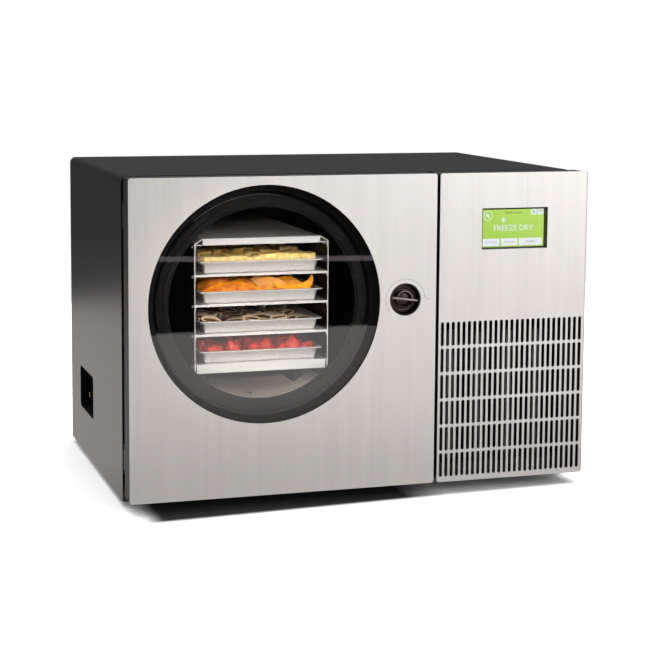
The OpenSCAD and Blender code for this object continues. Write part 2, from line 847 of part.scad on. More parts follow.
// display panel bonded to its driver board
module display() {
    y = front + screen_depth + 7;
    x0 = right - screen_right - screen_w;
    z0 = top - screen_top - screen_h;
    color("#9acd3c") slab(front + screen_depth + 1.4, y) screen_outline(-1);
    color("#2c6a3f") {
        slab(y, y + 1.6) screen_outline(-6);
        block(x0 + 8, x0 + 34, y + 1, y + 5, z0 + 8, z0 + 30);
        block(x0 + 60, x0 + 72, y + 1, y + 4, z0 + 20, z0 + 32);
        block(x0 + 88, x0 + 110, y + 1, y + 9, z0 + 6, z0 + 14);
    }
}

// ---------- rack and trays ----------

module rack_section(inset) {
    w = rack_half - inset;
    slant_h = high_lip - rack_t;                        // ends just above the top shelf
    turn = atan2(rack_chamfer, slant_h);
    low = rack_h - slant_h - inset * tan(turn / 2);
    high_w = rack_half - rack_chamfer - inset * tan(45 - turn / 2);
    h = rack_h - inset;
    polygon([[-w, 0], [-w, low], [-high_w, h], [high_w, h], [w, low], [w, 0]]);
}

module rack_frame() {
    color("#d6d7d8") translate([axis_x, 0, rack_z]) {
        slab(rack_y, rack_y + rack_l) difference() {
            rack_section(0);
            rack_section(rack_t);
            translate([-rack_half + rack_t, -reach]) square([rack_w - 2 * rack_t, 3]);
        }
    }
}

// folded shelf with a front lip and two screw flanges; z is its upper face
module shelf(z, lip, trim = 0) {
    w = rack_half - rack_t;
    y0 = rack_y + 1;
    y1 = rack_y + rack_l - 1;
    translate([axis_x, 0, z]) {
        block(-w, w, y0, y1, -rack_t, 0);
        block(-w + trim, w - trim, y0, y0 + rack_t, -lip, 0);
        block(-w, -w + rack_t, y0, y1, -shelf_flange, 0);
        block(w - rack_t, w, y0, y1, -shelf_flange, 0);
    }
}

// its lip is folded up, between the rack's slanted corners
module top_shelf() {
    w = rack_half - rack_t - rack_chamfer;
    color("#dcdddd") {
        shelf(shelf_top(tray_count), rack_t);
        block(axis_x - w, axis_x + w, rack_y + 1, rack_y + 1 + rack_t, shelf_top(tray_count) - rack_t,
            rack_z + rack_h - rack_t);
    }
}

module middle_shelves() {
    color("#d2d3d4") for (i = [1 : tray_count - 1]) shelf(shelf_top(i), mid_lip);
}

module bottom_shelf() {
    color("#dcdddd") shelf(shelf_top(0), low_lip, 2.5);
}

module heater_mats() {
    w = rack_half - 22;
    color("#7b3a22") for (i = [0 : tray_count]) translate([axis_x, 0, shelf_top(i)])
        block(-w, w, rack_y + 14, rack_y + rack_l - 14, -rack_t - mat_t, -rack_t);
}

module rack_runners() {
    runner_x = rack_half - 29;
    runner_w = 16;
    color("#1d1d1e") intersection() {
        for (s = [-1, 1])
            block(axis_x + s * runner_x - runner_w / 2, axis_x + s * runner_x + runner_w / 2,
                rack_y + 65, rack_y + rack_l - 12, axis_z - chamber_r, shelf_top(0) - shelf_flange - 1);
        to_y(axis_x, rack_y, axis_z) cylinder(r = chamber_r - rest_gap, h = rack_l);
    }
}

module rack_screws() {
    inset = 12;
    color("#e8e9ea") for (i = [0 : tray_count], y = [rack_y + inset, rack_y + rack_l - inset], s = [-1, 1])
        translate([axis_x + s * rack_half, y, shelf_top(i) - shelf_flange / 2]) rotate([0, s * 90, 0]) {
            screw_head(3, 1.6);
            // its nut, on the shelf flange inside
            translate([0, 0, -2 * rack_t - 2.2]) cylinder(r = 2.6, h = 2.2, $fn = 6);
        }
}

module rack_cable() {
    y0 = rack_y + rack_l + 1;
    z = axis_z + stub_rise;
    color("#d8d2c4") {
        block(axis_x - 12, axis_x + 12, rack_y + rack_l - 1, y0 + 7, z - 9, z - 1);
        rod([axis_x, y0 + 4, z - 2], [axis_x, back - rear_space - 5, z - 2], 3);
    }
}

module corner_posts(w, l, r, h) {
    for (x = [-w / 2 + r, w / 2 - r], y = [r, l - r])
        translate([x, y, 0]) cylinder(r = r, h = h, $fn = 32);
}

// straight-sided pan that narrows downwards
module pan_solid(w, l, r, h) {
    thin = 0.02;
    hull() {
        translate([0, tray_slope, 0])
            corner_posts(w - 2 * tray_slope, l - 2 * tray_slope, r - tray_slope, thin);
        translate([0, 0, h - thin]) corner_posts(w, l, r, thin);
    }
}

module tray(i) {
    w = tray_w - 2 * tray_rim;
    l = tray_l - 2 * tray_rim;
    rim_h = 2.2;
    rim_r = 6;                                          // corner of the rim
    translate([axis_x, rack_y + tray_end_gap + tray_rim, shelf_top(i) + rest_gap]) difference() {
        union() {
            pan_solid(w, l, tray_r, tray_h);
            translate([0, 0, tray_h - rim_h]) linear_extrude(rim_h)
                round_rect(-tray_w / 2, -tray_rim, tray_w, tray_l, rim_r);
        }
        translate([0, tray_t, tray_t]) pan_solid(w - 2 * tray_t, l - 2 * tray_t, tray_r - tray_t, tray_h);
        // hollow under the rolled rim
        translate([0, 0, tray_h - rim_h - reach]) linear_extrude(rim_h + reach - tray_t) difference() {
            round_rect(-tray_w / 2 + tray_t, -tray_rim + tray_t, tray_w - 2 * tray_t, tray_l - 2 * tray_t,
                rim_r - tray_t);
            round_rect(-w / 2, 0, w, l, tray_r);
        }
    }
}

module tray_1() { color("#dfe0e0") tray(0); }
module tray_2() { color("#dfe0e0") tray(1); }
module tray_3() { color("#dfe0e0") tray(2); }
module tray_4() { color("#dfe0e0") tray(3); }

// ---------- machine bay ----------

module grommet_places() {
    for (x = [-grommet_x, grommet_x], y = [-grommet_y, grommet_y])
        translate([bay_x + x, compressor_y + y, floor_z]) children();
}

module compressor() {
    k = 34;
    plate = 3;
    color("#1f2022") {
        translate([bay_x, compressor_y, compressor_z]) {
            rotate_extrude() {
                square([compressor_r - k, compressor_h]);
                translate([0, k]) square([compressor_r, compressor_h - 2 * k]);
                translate([compressor_r - k, k]) circle(k);
                translate([compressor_r - k, compressor_h - k]) circle(k);
                translate([0, compressor_h * 0.55]) square([compressor_r + 4, 5]);
            }
            for (s = [-1, 1]) translate([s * 34, 0, compressor_h - 4]) cylinder(r = 5.5, h = 20);
            // terminal cover on the front of the can
            block(-22, 22, -compressor_r - 16, -compressor_r + 10, 60, 104);
        }
        difference() {
            block(bay_x - grommet_x - 14, bay_x + grommet_x + 14, compressor_y - grommet_y - 14,
                compressor_y + grommet_y + 14, compressor_z - plate, compressor_z + reach);
            grommet_places() cylinder(r = 5, h = grommet_h + 2 * plate);
        }
    }
}

module compressor_grommets() {
    color("#0e0e0f") grommet_places() cylinder(r = 10, h = grommet_h);
}

module condenser() {
    x0 = bay_left + 4;
    w = bay_w - 8;
    fins = floor((w - 8) / fin_pitch);
    start = x0 + (w - fins * fin_pitch) / 2;
    color("#8d9093") {
        for (i = [0 : fins])
            block(start + i * fin_pitch, start + i * fin_pitch + 0.6, condenser_y + 1, condenser_back - 1,
                condenser_z, condenser_z + condenser_h);
        for (x = [x0, x0 + w - 1.6])
            block(x, x + 1.6, condenser_y, condenser_back, condenser_z - 8, condenser_z + condenser_h);
        for (i = [0 : 4]) {
            z = condenser_z + tube_in + i * (condenser_h - 2 * tube_in) / 4;
            rod([x0 - 5, condenser_mid, z], [x0 + w + 5, condenser_mid, z], line_r);
        }
    }
}

module fan_shroud() {
    duct_r = fan_r + 4;
    spider_t = 4.5;
    color("#1d1e20") {
        difference() {
            union() {
                block(bay_left + 5.6, bay_right - 5.6, condenser_back, fan_y,
                    condenser_z, condenser_z + condenser_h);
                to_y(bay_x, condenser_back + reach, fan_z)
                    cylinder(r = duct_r + 2.5, h = duct_l + plate_t - reach);
            }
            to_y(bay_x, condenser_back - reach, fan_z) cylinder(r = duct_r, h = duct_l + plate_t + 2 * reach);
        }
        // motor spider
        to_y(bay_x, motor_y, fan_z) difference() {
            union() {
                cylinder(r = motor_r + 6, h = spider_t);
                for (i = [0 : 3])
                    rotate(i * 90 + 45) translate([motor_r + 2, -5, 0])
                        cube([duct_r - motor_r - 0.5, 10, spider_t]);
            }
            translate([0, 0, -reach]) cylinder(r = motor_r, h = spider_t + 2 * reach);
        }
    }
}

module fan_motor() {
    color("#55575a") to_y(bay_x, motor_y, fan_z) difference() {
        cylinder(r = motor_r, h = 42);
        translate([0, 0, -reach]) cylinder(r = shaft_r + run, h = 22);
    }
}

module fan_rotor() {
    hub_y = fan_y + 3;
    hub_h = duct_l - 9.5;
    blades = 5;
    color("#2c2d30") {
        to_y(bay_x, hub_y, fan_z) cylinder(r = 22, h = hub_h);
        to_y(bay_x, hub_y + hub_h - 1, fan_z) cylinder(r = shaft_r, h = 18);
        intersection() {
            to_y(bay_x, hub_y, fan_z) for (i = [0 : blades - 1]) rotate(i * 360 / blades)
                translate([fan_r / 2 + 10, 0, hub_h / 2]) rotate([32, 0, 0])
                    cube([fan_r, 42, 2.4], center = true);
            to_y(bay_x, hub_y, fan_z) difference() {
                cylinder(r = fan_r, h = hub_h);
                translate([0, 0, -reach]) cylinder(r = 16, h = hub_h + 2 * reach);
            }
        }
    }
}

module filter_drier() {
    color("#b4703f") translate([line_x, drier_y, drier_z]) rotate_extrude() {
        square([drier_r, drier_l]);
        translate([0, -12]) square([line_r + 1, drier_l + 24]);
    }
}

module refrigerant_lines() {
    stub_x = bay_left - 1;
    high_z = condenser_z + condenser_h - tube_in;
    low_z = condenser_z + tube_in;
    comp_z = compressor_top + 16;
    end_y = foam_end + 4;
    color("#c07a4a") {
        // discharge, from the compressor to the condenser's upper tube
        pipe([[bay_x - 34, compressor_y, comp_z], [bay_x - 34, compressor_y, comp_z + 20],
            [line_x, compressor_y, comp_z + 20], [line_x, condenser_mid, comp_z + 20],
            [line_x, condenser_mid, high_z], [stub_x, condenser_mid, high_z]], line_r);
        // liquid, from the condenser's lower tube through the drier to the upper header
        pipe([[stub_x, condenser_mid, low_z], [line_x, condenser_mid, low_z], [line_x, drier_y, low_z],
            [line_x, drier_y, drier_z - 12]], line_r);
        pipe([[line_x, drier_y, drier_z + drier_l + 12], [line_x, drier_y, axis_z + header_dz],
            [line_x, end_y + 10, axis_z + header_dz], [header_x, end_y + 10, axis_z + header_dz],
            [header_x, end_y, axis_z + header_dz]], line_r);
        // suction, from the lower header back to the compressor
        pipe([[header_x, end_y, axis_z - header_dz], [header_x, end_y + 12, axis_z - header_dz],
            [line_x - 16, end_y + 12, axis_z - header_dz], [line_x - 16, end_y + 12, comp_z + 34],
            [bay_x + 34, end_y + 12, comp_z + 34], [bay_x + 34, compressor_y, comp_z + 34],
            [bay_x + 34, compressor_y, comp_z]], line_r);
    }
}

module power_supply() {
    color("#a9acaf") difference() {
        block(bay_left, bay_left + supply_w, panel_front - 44, panel_front, boards_z - boards_h, boards_z);
        for (i = [0 : 9])
            block(bay_left + 12 + i * 10, bay_left + 17 + i * 10, panel_front - 45, panel_front - 41,
                boards_z - 78, boards_z - 14);
    }
}

module relay_board() {
    x0 = bay_left + supply_w + 12;
    x1 = bay_right;
    z1 = boards_z;
    y = panel_front - 8;
    color("#2c6a3f") {
        block(x0, x1, y - 1.6, y, z1 - boards_h, z1);
        for (x = [x0 + 6, x1 - 6], z = [z1 - 84, z1 - 6]) rod([x, y - 1, z], [x, panel_front, z], 2.6);
        for (i = [0 : 2]) block(x0 + 10, x0 + 28, y - 18, y - 1, z1 - 78 + i * 26, z1 - 58 + i * 26);
        block(x1 - 26, x1 - 14, y - 13, y - 1, z1 - 80, z1 - 20);
    }
}

// ---------- service side ----------

module port_box() {
    color("#161617") difference() {
        union() {
            side_slab(port_x, port_floor + port_wall)
                framed(port_y, port_z, port_y + port_l, port_z + port_h, -port_wall, port_r + port_wall);
            side_slab(port_x, port_x + port_wall)
                framed(port_y, port_z, port_y + port_l, port_z + port_h, -10, port_r);
        }
        side_slab(port_x - reach, port_floor)
            framed(port_y, port_z, port_y + port_l, port_z + port_h, 0, port_r);
        rod([port_floor - reach, vacuum_y, vacuum_z], [port_floor + 4, vacuum_y, vacuum_z], hose_r + 1.2);
        rod([port_floor - reach, drain_y, drain_z], [port_floor + 4, drain_y, drain_z], valve_r + 0.2);
    }
}

module vacuum_fitting() {
    color("#c9a45a") difference() {
        union() {
            translate([port_floor, vacuum_y, vacuum_z]) rotate([0, -90, 0]) {
                cylinder(r = hose_r + 5, h = 9, $fn = 6);
                cylinder(r = hose_r, h = 30);
                translate([0, 0, -14]) cylinder(r = hose_r + 1, h = 15);
            }
        }
        translate([port_floor, vacuum_y, vacuum_z]) rotate([0, -90, 0])
            translate([0, 0, -16]) cylinder(r = hose_r - 2.5, h = 60);
    }
}

module drain_valve() {
    color("#c9a45a") translate([port_floor, drain_y, drain_z]) difference() {
        union() {
            rotate([0, -90, 0]) {
                cylinder(r = 9, h = 20);
                translate([0, 0, 19]) cylinder(r = barb_r, h = 14);
                translate([0, 0, -14]) cylinder(r = valve_r, h = 15);
            }
            translate([-lever_in, 0, 0]) cylinder(r = valve_r, h = 14);
        }
        translate([-lever_in, 0, 6]) cylinder(r = lever_pin_r + run, h = 10);
        rotate([0, -90, 0]) translate([0, 0, 22]) cylinder(r = barb_r - 1.5, h = 14);
    }
}

module drain_lever() {
    lever_l = 26;
    color("#b02a22") translate([port_floor - lever_in, drain_y, drain_z]) {
        translate([0, 0, 7]) cylinder(r = lever_pin_r, h = 10);
        translate([0, 0, 14.3]) cylinder(r = 6.5, h = 3.4);
        translate([-4, 0, 14.3]) cube([8, lever_l, 3.4]);
    }
}

module chamber_tubes() {
    z0 = axis_z - stub_rise;
    y_run = foam_end + 20;
    drain_clear = foam_r + valve_r + 2;
    drain_x = min(tube_x + 26, axis_x - sqrt(max(pow(drain_clear, 2) - pow(axis_z - drain_z, 2), 0)));
    drain_low = drain_end - 24;
    color("#8f9498") {
        // vacuum tube, from the chamber's rear stub to the hose fitting
        pipe([[axis_x, stub_end, z0], [axis_x, y_run, z0], [tube_x, y_run, z0], [tube_x, y_run, vacuum_z],
            [tube_x, vacuum_y, vacuum_z], [port_floor + 14, vacuum_y, vacuum_z]], tube_r);
        // drain tube, from the chamber's lower stub to the drain valve
        pipe([[axis_x, drain_in_y, drain_end], [axis_x, drain_in_y, drain_low],
            [drain_x, drain_in_y, drain_low], [drain_x, drain_y, drain_low],
            [drain_x, drain_y, drain_z], [port_floor + 14, drain_y, drain_z]], valve_r);
    }
}

// ---------- rear fittings ----------

// rectangle centred on a fitting's place in the back panel
module centred(x, w, h, r) {
    framed(x - w / 2, inlet_z - h / 2, x + w / 2, inlet_z + h / 2, 0, r);
}

// flange on the panel and body through it
module fitting(x, w, h, l) {
    slab(panel_back, panel_back + face_t) centred(x, w + 2 * face_edge, h + 2 * face_edge, 2);
    slab(panel_back - l, panel_back + 1) centred(x, w, h, 2);
}

module power_inlet() {
    color("#141415") {
        difference() {
            fitting(inlet_x, inlet_w, inlet_h, 20);
            slab(panel_back - 17, panel_back + face_t + reach) centred(inlet_x, inlet_w - 4, inlet_h - 4, 2);
        }
        for (p = [[-6.5, -2.5], [6.5, -2.5], [0, 3]])
            block(inlet_x + p[0] - 1, inlet_x + p[0] + 1, panel_back - 18, panel_back - 5,
                inlet_z + p[1] - 2.5, inlet_z + p[1] + 2.5);
    }
}

module power_switch() {
    color("#161617") difference() {
        fitting(switch_x, switch_w, switch_h, 18);
        slab(panel_back - 15, panel_back + face_t + reach) centred(switch_x, rocker_room, switch_h - 2.8, 1);
    }
}

module switch_rocker() {
    tilt = 9;
    color("#c0281f") translate([switch_x, panel_back - rocker_in, inlet_z]) rotate([-tilt, 0, 0]) {
        side_slab(0.5 - rocker_room / 2, rocker_room / 2 - 0.5)
            polygon([[-6, -5], [0, -12], [4.6, -12], [2.4, 0], [4.6, 12], [0, 12], [-6, 5]]);
        translate([0.1 - rocker_room / 2, 0, 0]) rotate([0, 90, 0]) cylinder(r = 1.5, h = rocker_room - 0.2);
    }
}

module pump_outlet() {
    color("#141415") difference() {
        fitting(outlet_x, outlet_w, outlet_w, 20);
        for (s = [-1, 1])
            block(outlet_x + s * 6.3 - 1, outlet_x + s * 6.3 + 1, panel_back - 14, panel_back + 5,
                inlet_z - 1, inlet_z + 7);
        to_y(outlet_x, panel_back - 14, inlet_z - 7) cylinder(r = 2.5, h = 20);
    }
}

cover();
base_pan();
back_panel();
bulkhead();
feet();
panel_screws();
chamber_drum();
neck_ring();
chamber_gasket();
evaporator_coil();
foam_jacket();
feedthrough();
window_disc();
window_seal();
door_skin();
door_body();
door_screws();
knob_cup();
turn_knob();
latch_spindle();
strike_cup();
hinge_leaves();
hinge_brackets();
hinge_pins();
control_skin();
control_body();
display_bezel();
touch_glass();
display();
rack_frame();
top_shelf();
middle_shelves();
bottom_shelf();
heater_mats();
rack_runners();
rack_screws();
rack_cable();
tray_1();
tray_2();
tray_3();
tray_4();
compressor();
compressor_grommets();
condenser();
fan_shroud();
fan_motor();
fan_rotor();
filter_drier();
refrigerant_lines();
power_supply();
relay_board();
port_box();
vacuum_fitting();
drain_valve();
drain_lever();
chamber_tubes();
power_inlet();
power_switch();
switch_rocker();
pump_outlet();
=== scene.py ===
# Freeze dryer: surface finishes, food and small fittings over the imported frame
import math
import random

import bmesh
import bpy
from mathutils import Matrix, Vector


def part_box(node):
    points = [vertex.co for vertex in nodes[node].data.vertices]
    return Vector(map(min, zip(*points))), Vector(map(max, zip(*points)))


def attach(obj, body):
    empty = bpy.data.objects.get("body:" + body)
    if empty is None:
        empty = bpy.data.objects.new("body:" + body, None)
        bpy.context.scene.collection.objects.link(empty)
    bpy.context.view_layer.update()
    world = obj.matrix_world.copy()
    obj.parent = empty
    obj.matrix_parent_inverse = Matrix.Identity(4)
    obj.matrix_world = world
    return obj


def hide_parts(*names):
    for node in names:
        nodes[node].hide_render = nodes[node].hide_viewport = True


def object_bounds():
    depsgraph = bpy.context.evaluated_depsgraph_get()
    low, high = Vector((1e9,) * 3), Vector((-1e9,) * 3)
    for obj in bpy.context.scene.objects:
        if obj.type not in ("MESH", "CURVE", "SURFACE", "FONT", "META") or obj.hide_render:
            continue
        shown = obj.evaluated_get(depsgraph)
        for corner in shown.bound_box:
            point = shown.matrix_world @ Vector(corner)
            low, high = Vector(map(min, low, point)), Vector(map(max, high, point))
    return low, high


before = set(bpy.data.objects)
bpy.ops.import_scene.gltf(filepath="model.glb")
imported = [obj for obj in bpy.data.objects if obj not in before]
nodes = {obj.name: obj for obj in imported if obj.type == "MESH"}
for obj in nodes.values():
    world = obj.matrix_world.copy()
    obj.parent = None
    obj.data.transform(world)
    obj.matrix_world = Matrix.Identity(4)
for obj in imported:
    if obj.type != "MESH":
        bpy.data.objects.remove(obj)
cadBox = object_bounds()
scene = bpy.context.scene
print("stage: frame loaded,", len(nodes), "nodes")

mm = 0.001


def toLinear(hexText):
    # sRGB hex to the linear values that a shader works with
    out = []
    for i in (0, 2, 4):
        v = int(hexText[i:i + 2], 16) / 255
        out.append(v / 12.92 if v <= 0.04045 else ((v + 0.055) / 1.055) ** 2.4)
    return (*out, 1.0)


def feed(tree, node, links):
    # what feeds a node's sockets: other sockets, or other nodes by the first output in use
    for name, source in links.items():
        isSocket = isinstance(source, bpy.types.NodeSocket)
        plug = source if isSocket else next(end for end in source.outputs if end.enabled)
        tree.links.new(plug, node.inputs[name])


def add(tree, kind, settings=None, links=None):
    # one shader node with its settings and what feeds it
    node = tree.nodes.new("ShaderNode" + kind)
    for name, value in (settings or {}).items():
        if isinstance(name, int) or name in node.inputs:
            node.inputs[name].default_value = value
        else:
            setattr(node, name, value)
    feed(tree, node, links or {})
    return node


def startMaterial(name, settings):
    # a material with one Principled shader, its fixed values set on the sockets
    material = bpy.data.materials.new(name)
    material.use_nodes = True
    tree = material.node_tree
    tree.nodes.clear()
    skin = add(tree, "BsdfPrincipled", settings)
    add(tree, "OutputMaterial", links={"Surface": skin})
    return material, tree, skin


def stretched(tree, size):
    # object coordinates counted in features of this size in mm, one for all axes or one for each
    sizes = size if isinstance(size, tuple) else (size, size, size)
    return add(tree, "Mapping", {"Scale": [1 / (one * mm) for one in sizes]},
               {"Vector": add(tree, "TexCoord").outputs["Object"]})


def twoTone(tree, skin, pattern, dark, light, low=0.3, high=0.7):
    # colour between two hexes, driven by a pattern
    ramp = add(tree, "ValToRGB", links={"Fac": pattern})
    ramp.color_ramp.elements[0].position = low
    ramp.color_ramp.elements[0].color = toLinear(dark)
    ramp.color_ramp.elements[1].position = high
    ramp.color_ramp.elements[1].color = toLinear(light)
    feed(tree, skin, {"Base Color": ramp})
    return ramp


def finish(name, shader, size, tones, kind="TexNoise", detail=2.0, stops=(0.3, 0.7), sheen=None, relief=None):
    # a material whose colour, roughness and relief follow one pattern. size: of its features in mm;
    # sheen: lowest and highest roughness; relief: depth in mm and strength
    material, tree, skin = startMaterial(name, shader)
    settings = {"Scale": 1.0, "Detail": detail} if kind == "TexNoise" else {"Scale": 1.0}
    texture = add(tree, kind, settings, {"Vector": stretched(tree, size)})
    pattern = texture.outputs["Fac" if kind == "TexChecker" else 0]
    twoTone(tree, skin, pattern, *tones, *stops)
    if sheen:
        uneven = add(tree, "MapRange", {"To Min": sheen[0], "To Max": sheen[1]}, {"Value": pattern})
        feed(tree, skin, {"Roughness": uneven})
    if relief:
        bump = add(tree, "Bump", {"Strength": relief[1], "Distance": relief[0] * mm}, {"Height": pattern})
        feed(tree, skin, {"Normal": bump})
    return material


def paint(material, *names):
    # one finish over whole CAD nodes
    for name in names:
        slots = nodes[name].data.materials
        slots.clear()
        slots.append(material)


def middleOf(name):
    # the middle of a CAD node's box
    low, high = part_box(name)
    return (low + high) / 2


# the camera
view = {
    "place": (-0.86215, -2.7647, 0.7046),
    "turn": (83.681, -0.391, -17.6),
    "lens": 94.67,
    "shiftDown": 0.1308,
}

camera = bpy.data.objects.new("camera", bpy.data.cameras.new("camera"))
camera.location = view["place"]
camera.rotation_euler = [math.radians(a) for a in view["turn"]]
camera.data.lens = view["lens"]
camera.data.shift_y = -view["shiftDown"]
camera.data.clip_end = 50
scene.collection.objects.link(camera)
scene.camera = camera
scene.view_settings.view_transform = "Standard"

# the room: bright ceiling and dim walls, which metal and glass mirror, and an even fill on all the rest
room = {
    "walls": 0.01,
    "ceiling": 0.9,
    "ceilingFrom": 0.3,  # how far up a mirrored ray points where the ceiling starts, and where it is full
    "ceilingFull": 0.85,
    "backWall": 0.07,
    "backFrom": -0.2,
    "backFull": 0.4,
    "fill": 0.5,
}

world = bpy.data.worlds.new("studio")
scene.world = world
world.use_nodes = True
sky = world.node_tree
sky.nodes.clear()
rays = add(sky, "LightPath")
facing = add(sky, "SeparateXYZ", links={0: add(sky, "TexCoord").outputs["Generated"]})
above = add(sky, "MapRange", {"From Min": room["ceilingFrom"], "From Max": room["ceilingFull"],
                              "To Min": room["walls"], "To Max": room["ceiling"],
                              "interpolation_type": "SMOOTHSTEP"}, {"Value": facing.outputs["Z"]})
behind = add(sky, "MapRange", {"From Min": room["backFrom"], "From Max": room["backFull"],
                               "To Min": 0.0, "To Max": room["backWall"]}, {"Value": facing.outputs["Y"]})
walls = add(sky, "Math", {"operation": "ADD"}, {0: above, 1: behind})
mirrored = add(sky, "Background", {"Color": toLinear("ffffff")}, {"Strength": walls})
lighting = add(sky, "Background", {"Color": toLinear("ffffff"), "Strength": room["fill"]})
paper = add(sky, "Background", {"Color": toLinear("ffffff"), "Strength": 1.0})
# a ray counts as mirrored once it has met metal or gloss, also when it then leaves through the window
bounces = add(sky, "Math", {"operation": "ADD"},
              {0: rays.outputs["Diffuse Depth"], 1: rays.outputs["Glossy Depth"]})
direct = add(sky, "Math", {"operation": "LESS_THAN", 1: 0.5}, {0: bounces})
glossy = add(sky, "Math", {"operation": "GREATER_THAN", 1: 0.5}, {0: rays.outputs["Glossy Depth"]})
lit = add(sky, "MixShader", links={0: glossy, 1: lighting, 2: mirrored})
through = add(sky, "Math", {"operation": "MULTIPLY"}, {0: rays.outputs["Is Transmission Ray"], 1: direct})
seen = add(sky, "Math", {"operation": "MAXIMUM"}, {0: rays.outputs["Is Camera Ray"], 1: through})
whole = add(sky, "MixShader", links={0: seen, 1: lit, 2: paper})
add(sky, "OutputWorld", links={"Surface": whole})

# the table: reach beyond the machine in metres, and how bright the eye, metal and gloss see it
tableForm = {
    "front": 1.62,
    "back": 1.7,
    "sides": 2.4,
    "below": 0.0002,
    "colour": "f4f3f1",
    "white": 2.1,
    "lift": 0.03,
    # the glow that metal and gloss see in the table: a painted reflection, dimmer near the machine as painted
    # shade
    "mirroredColour": "fffaf7",
    "mirroredFar": 1.2,  # far in front of the machine, near it, and behind it; farAt and the rest are in y
    "farAt": -1.15,
    "mirroredNear": 0.36,
    "nearAt": -0.5,
    "mirroredBack": 0.8,
    "backFrom": -0.45,
    "backFull": 0.1,
}


def flatPlate(name, corners, material):
    # one flat face as an object of its own
    mesh = bpy.data.meshes.new(name)
    mesh.from_pydata(corners, [], [(0, 1, 2, 3)])
    mesh.materials.append(material)
    plate = bpy.data.objects.new(name, mesh)
    scene.collection.objects.link(plate)
    return plate


# a painted shadow in the floor's colour under the low gap of the machine, where almost no light gets in:
# deepest under the door, paler under the control side. Its front edge runs from frontLeft to frontRight;
# the fades start and stop in metres from the machine's left side, right side and back
contactShade = {
    "frontLeft": -0.312,
    "frontRight": -0.262,
    "frontFade": 0.012,
    "leftFade": (-0.004, 0.05),
    "rightFade": (-0.02, 0.004),
    "backFade": (-0.08, -0.02),
    "paler": (0.07, 0.14),
    "deep": 0.98,
    "pale": 0.62,
}


def whiteLaminate():
    # white laminate: plain diffuse. The eye sees it brighter, so that it is white paper where lit and keeps
    # its shadow; metal and gloss see it glowing grey, a painted reflection with painted shade near the
    # machine
    material, tree, skin = startMaterial("laminateWhite", {
        "Roughness": 0.8, "Base Color": toLinear(tableForm["colour"]), "Specular IOR Level": 0.1})
    rays = add(tree, "LightPath")
    place = add(tree, "SeparateXYZ", links={0: add(tree, "TexCoord").outputs["Object"]})
    # painted shadow under the machine: a mask from its front edge, sides and back, taken off the floor's
    # white
    edge = add(tree, "MapRange", {"From Min": cadBox[0].x, "From Max": cadBox[1].x,
                                  "To Min": contactShade["frontLeft"], "To Max": contactShade["frontRight"]},
               {"Value": place.outputs["X"]})
    within = add(tree, "Math", {"operation": "SUBTRACT"}, {0: place.outputs["Y"], 1: edge})
    fade = contactShade["frontFade"]
    shade = add(tree, "MapRange", {"From Min": -fade, "From Max": fade, "interpolation_type": "SMOOTHSTEP"},
                {"Value": within})
    for axis, start, span, values, blend in (
            ("X", cadBox[0].x, contactShade["leftFade"], (0.0, 1.0), "SMOOTHSTEP"),
            ("X", 0.0, contactShade["paler"], (contactShade["deep"], contactShade["pale"]), "LINEAR"),
            ("X", cadBox[1].x, contactShade["rightFade"], (1.0, 0.0), "LINEAR"),
            ("Y", cadBox[1].y, contactShade["backFade"], (1.0, 0.0), "LINEAR")):
        fade = add(tree, "MapRange", {"From Min": start + span[0], "From Max": start + span[1],
                                      "To Min": values[0], "To Max": values[1], "interpolation_type": blend},
                   {"Value": place.outputs[axis]})
        shade = add(tree, "Math", {"operation": "MULTIPLY"}, {0: shade, 1: fade})
    unshaded = add(tree, "Math", {"operation": "SUBTRACT", 0: 1.0}, {1: shade})
    white = add(tree, "Math", {"operation": "MULTIPLY", 1: tableForm["white"]}, {0: unshaded})
    lifted = add(tree, "Math", {"operation": "MULTIPLY", 1: tableForm["lift"]}, {0: unshaded})
    diffuse = add(tree, "BsdfDiffuse", links={"Color": white})
    glow = add(tree, "Emission", {"Color": toLinear("ffffff")}, {"Strength": lifted})
    bright = add(tree, "AddShader", links={0: diffuse, 1: glow})
    # painted reflection: the glow that metal and gloss see, dimmest near the machine's front as painted shade
    front = add(tree, "MapRange", {"From Min": tableForm["farAt"], "From Max": tableForm["nearAt"],
                                   "To Min": tableForm["mirroredFar"], "To Max": tableForm["mirroredNear"]},
                {"Value": place.outputs["Y"]})
    rise = tableForm["mirroredBack"] - tableForm["mirroredNear"]
    back = add(tree, "MapRange", {"From Min": tableForm["backFrom"], "From Max": tableForm["backFull"],
                                  "To Min": 0.0, "To Max": rise}, {"Value": place.outputs["Y"]})
    grey = add(tree, "Math", {"operation": "ADD"}, {0: front, 1: back})
    mirrored = add(tree, "Emission", {"Color": toLinear(tableForm["mirroredColour"])}, {"Strength": grey})
    pick = add(tree, "MixShader", links={0: rays.outputs["Is Glossy Ray"], 1: skin, 2: mirrored})
    pick = add(tree, "MixShader", links={0: rays.outputs["Is Camera Ray"], 1: pick, 2: bright})
    feed(tree, tree.nodes["Material Output"], {"Surface": pick})
    return material


left, right, under = -tableForm["sides"], tableForm["sides"], -tableForm["below"]
front, back = cadBox[0].y - tableForm["front"], cadBox[1].y + tableForm["back"]
table = flatPlate("table", ((left, front, under), (right, front, under), (right, back, under),
                            (left, back, under)), whiteLaminate())

# the lamps; the inside lamp is a small spot beside the camera, its cone just filling the round window
middle = (cadBox[0] + cadBox[1]) / 2
softboxes = {
    "wideBox": {"place": (1.95, -2.55, 1.22), "aim": (0, -0.27, 0.9), "size": (3.4, 1.3), "power": 56},
    "topBox": {"place": (0.1, 0.2, 2.4), "aim": middle, "size": (2.0, 1.6), "power": 26},
    "frontFill": {"place": (-0.5, -2.6, 1.5), "aim": middle, "size": (1.2, 0.8), "power": 5,
                  "mirrored": False},
}
insideLamp = {
    "place": (-0.95, -2.87, 0.9),
    "power": 135,
    "cone": 6.25,
    "fadedEdge": 0.08,
    "radius": 0.07,
    "colour": "fff0e0",
}


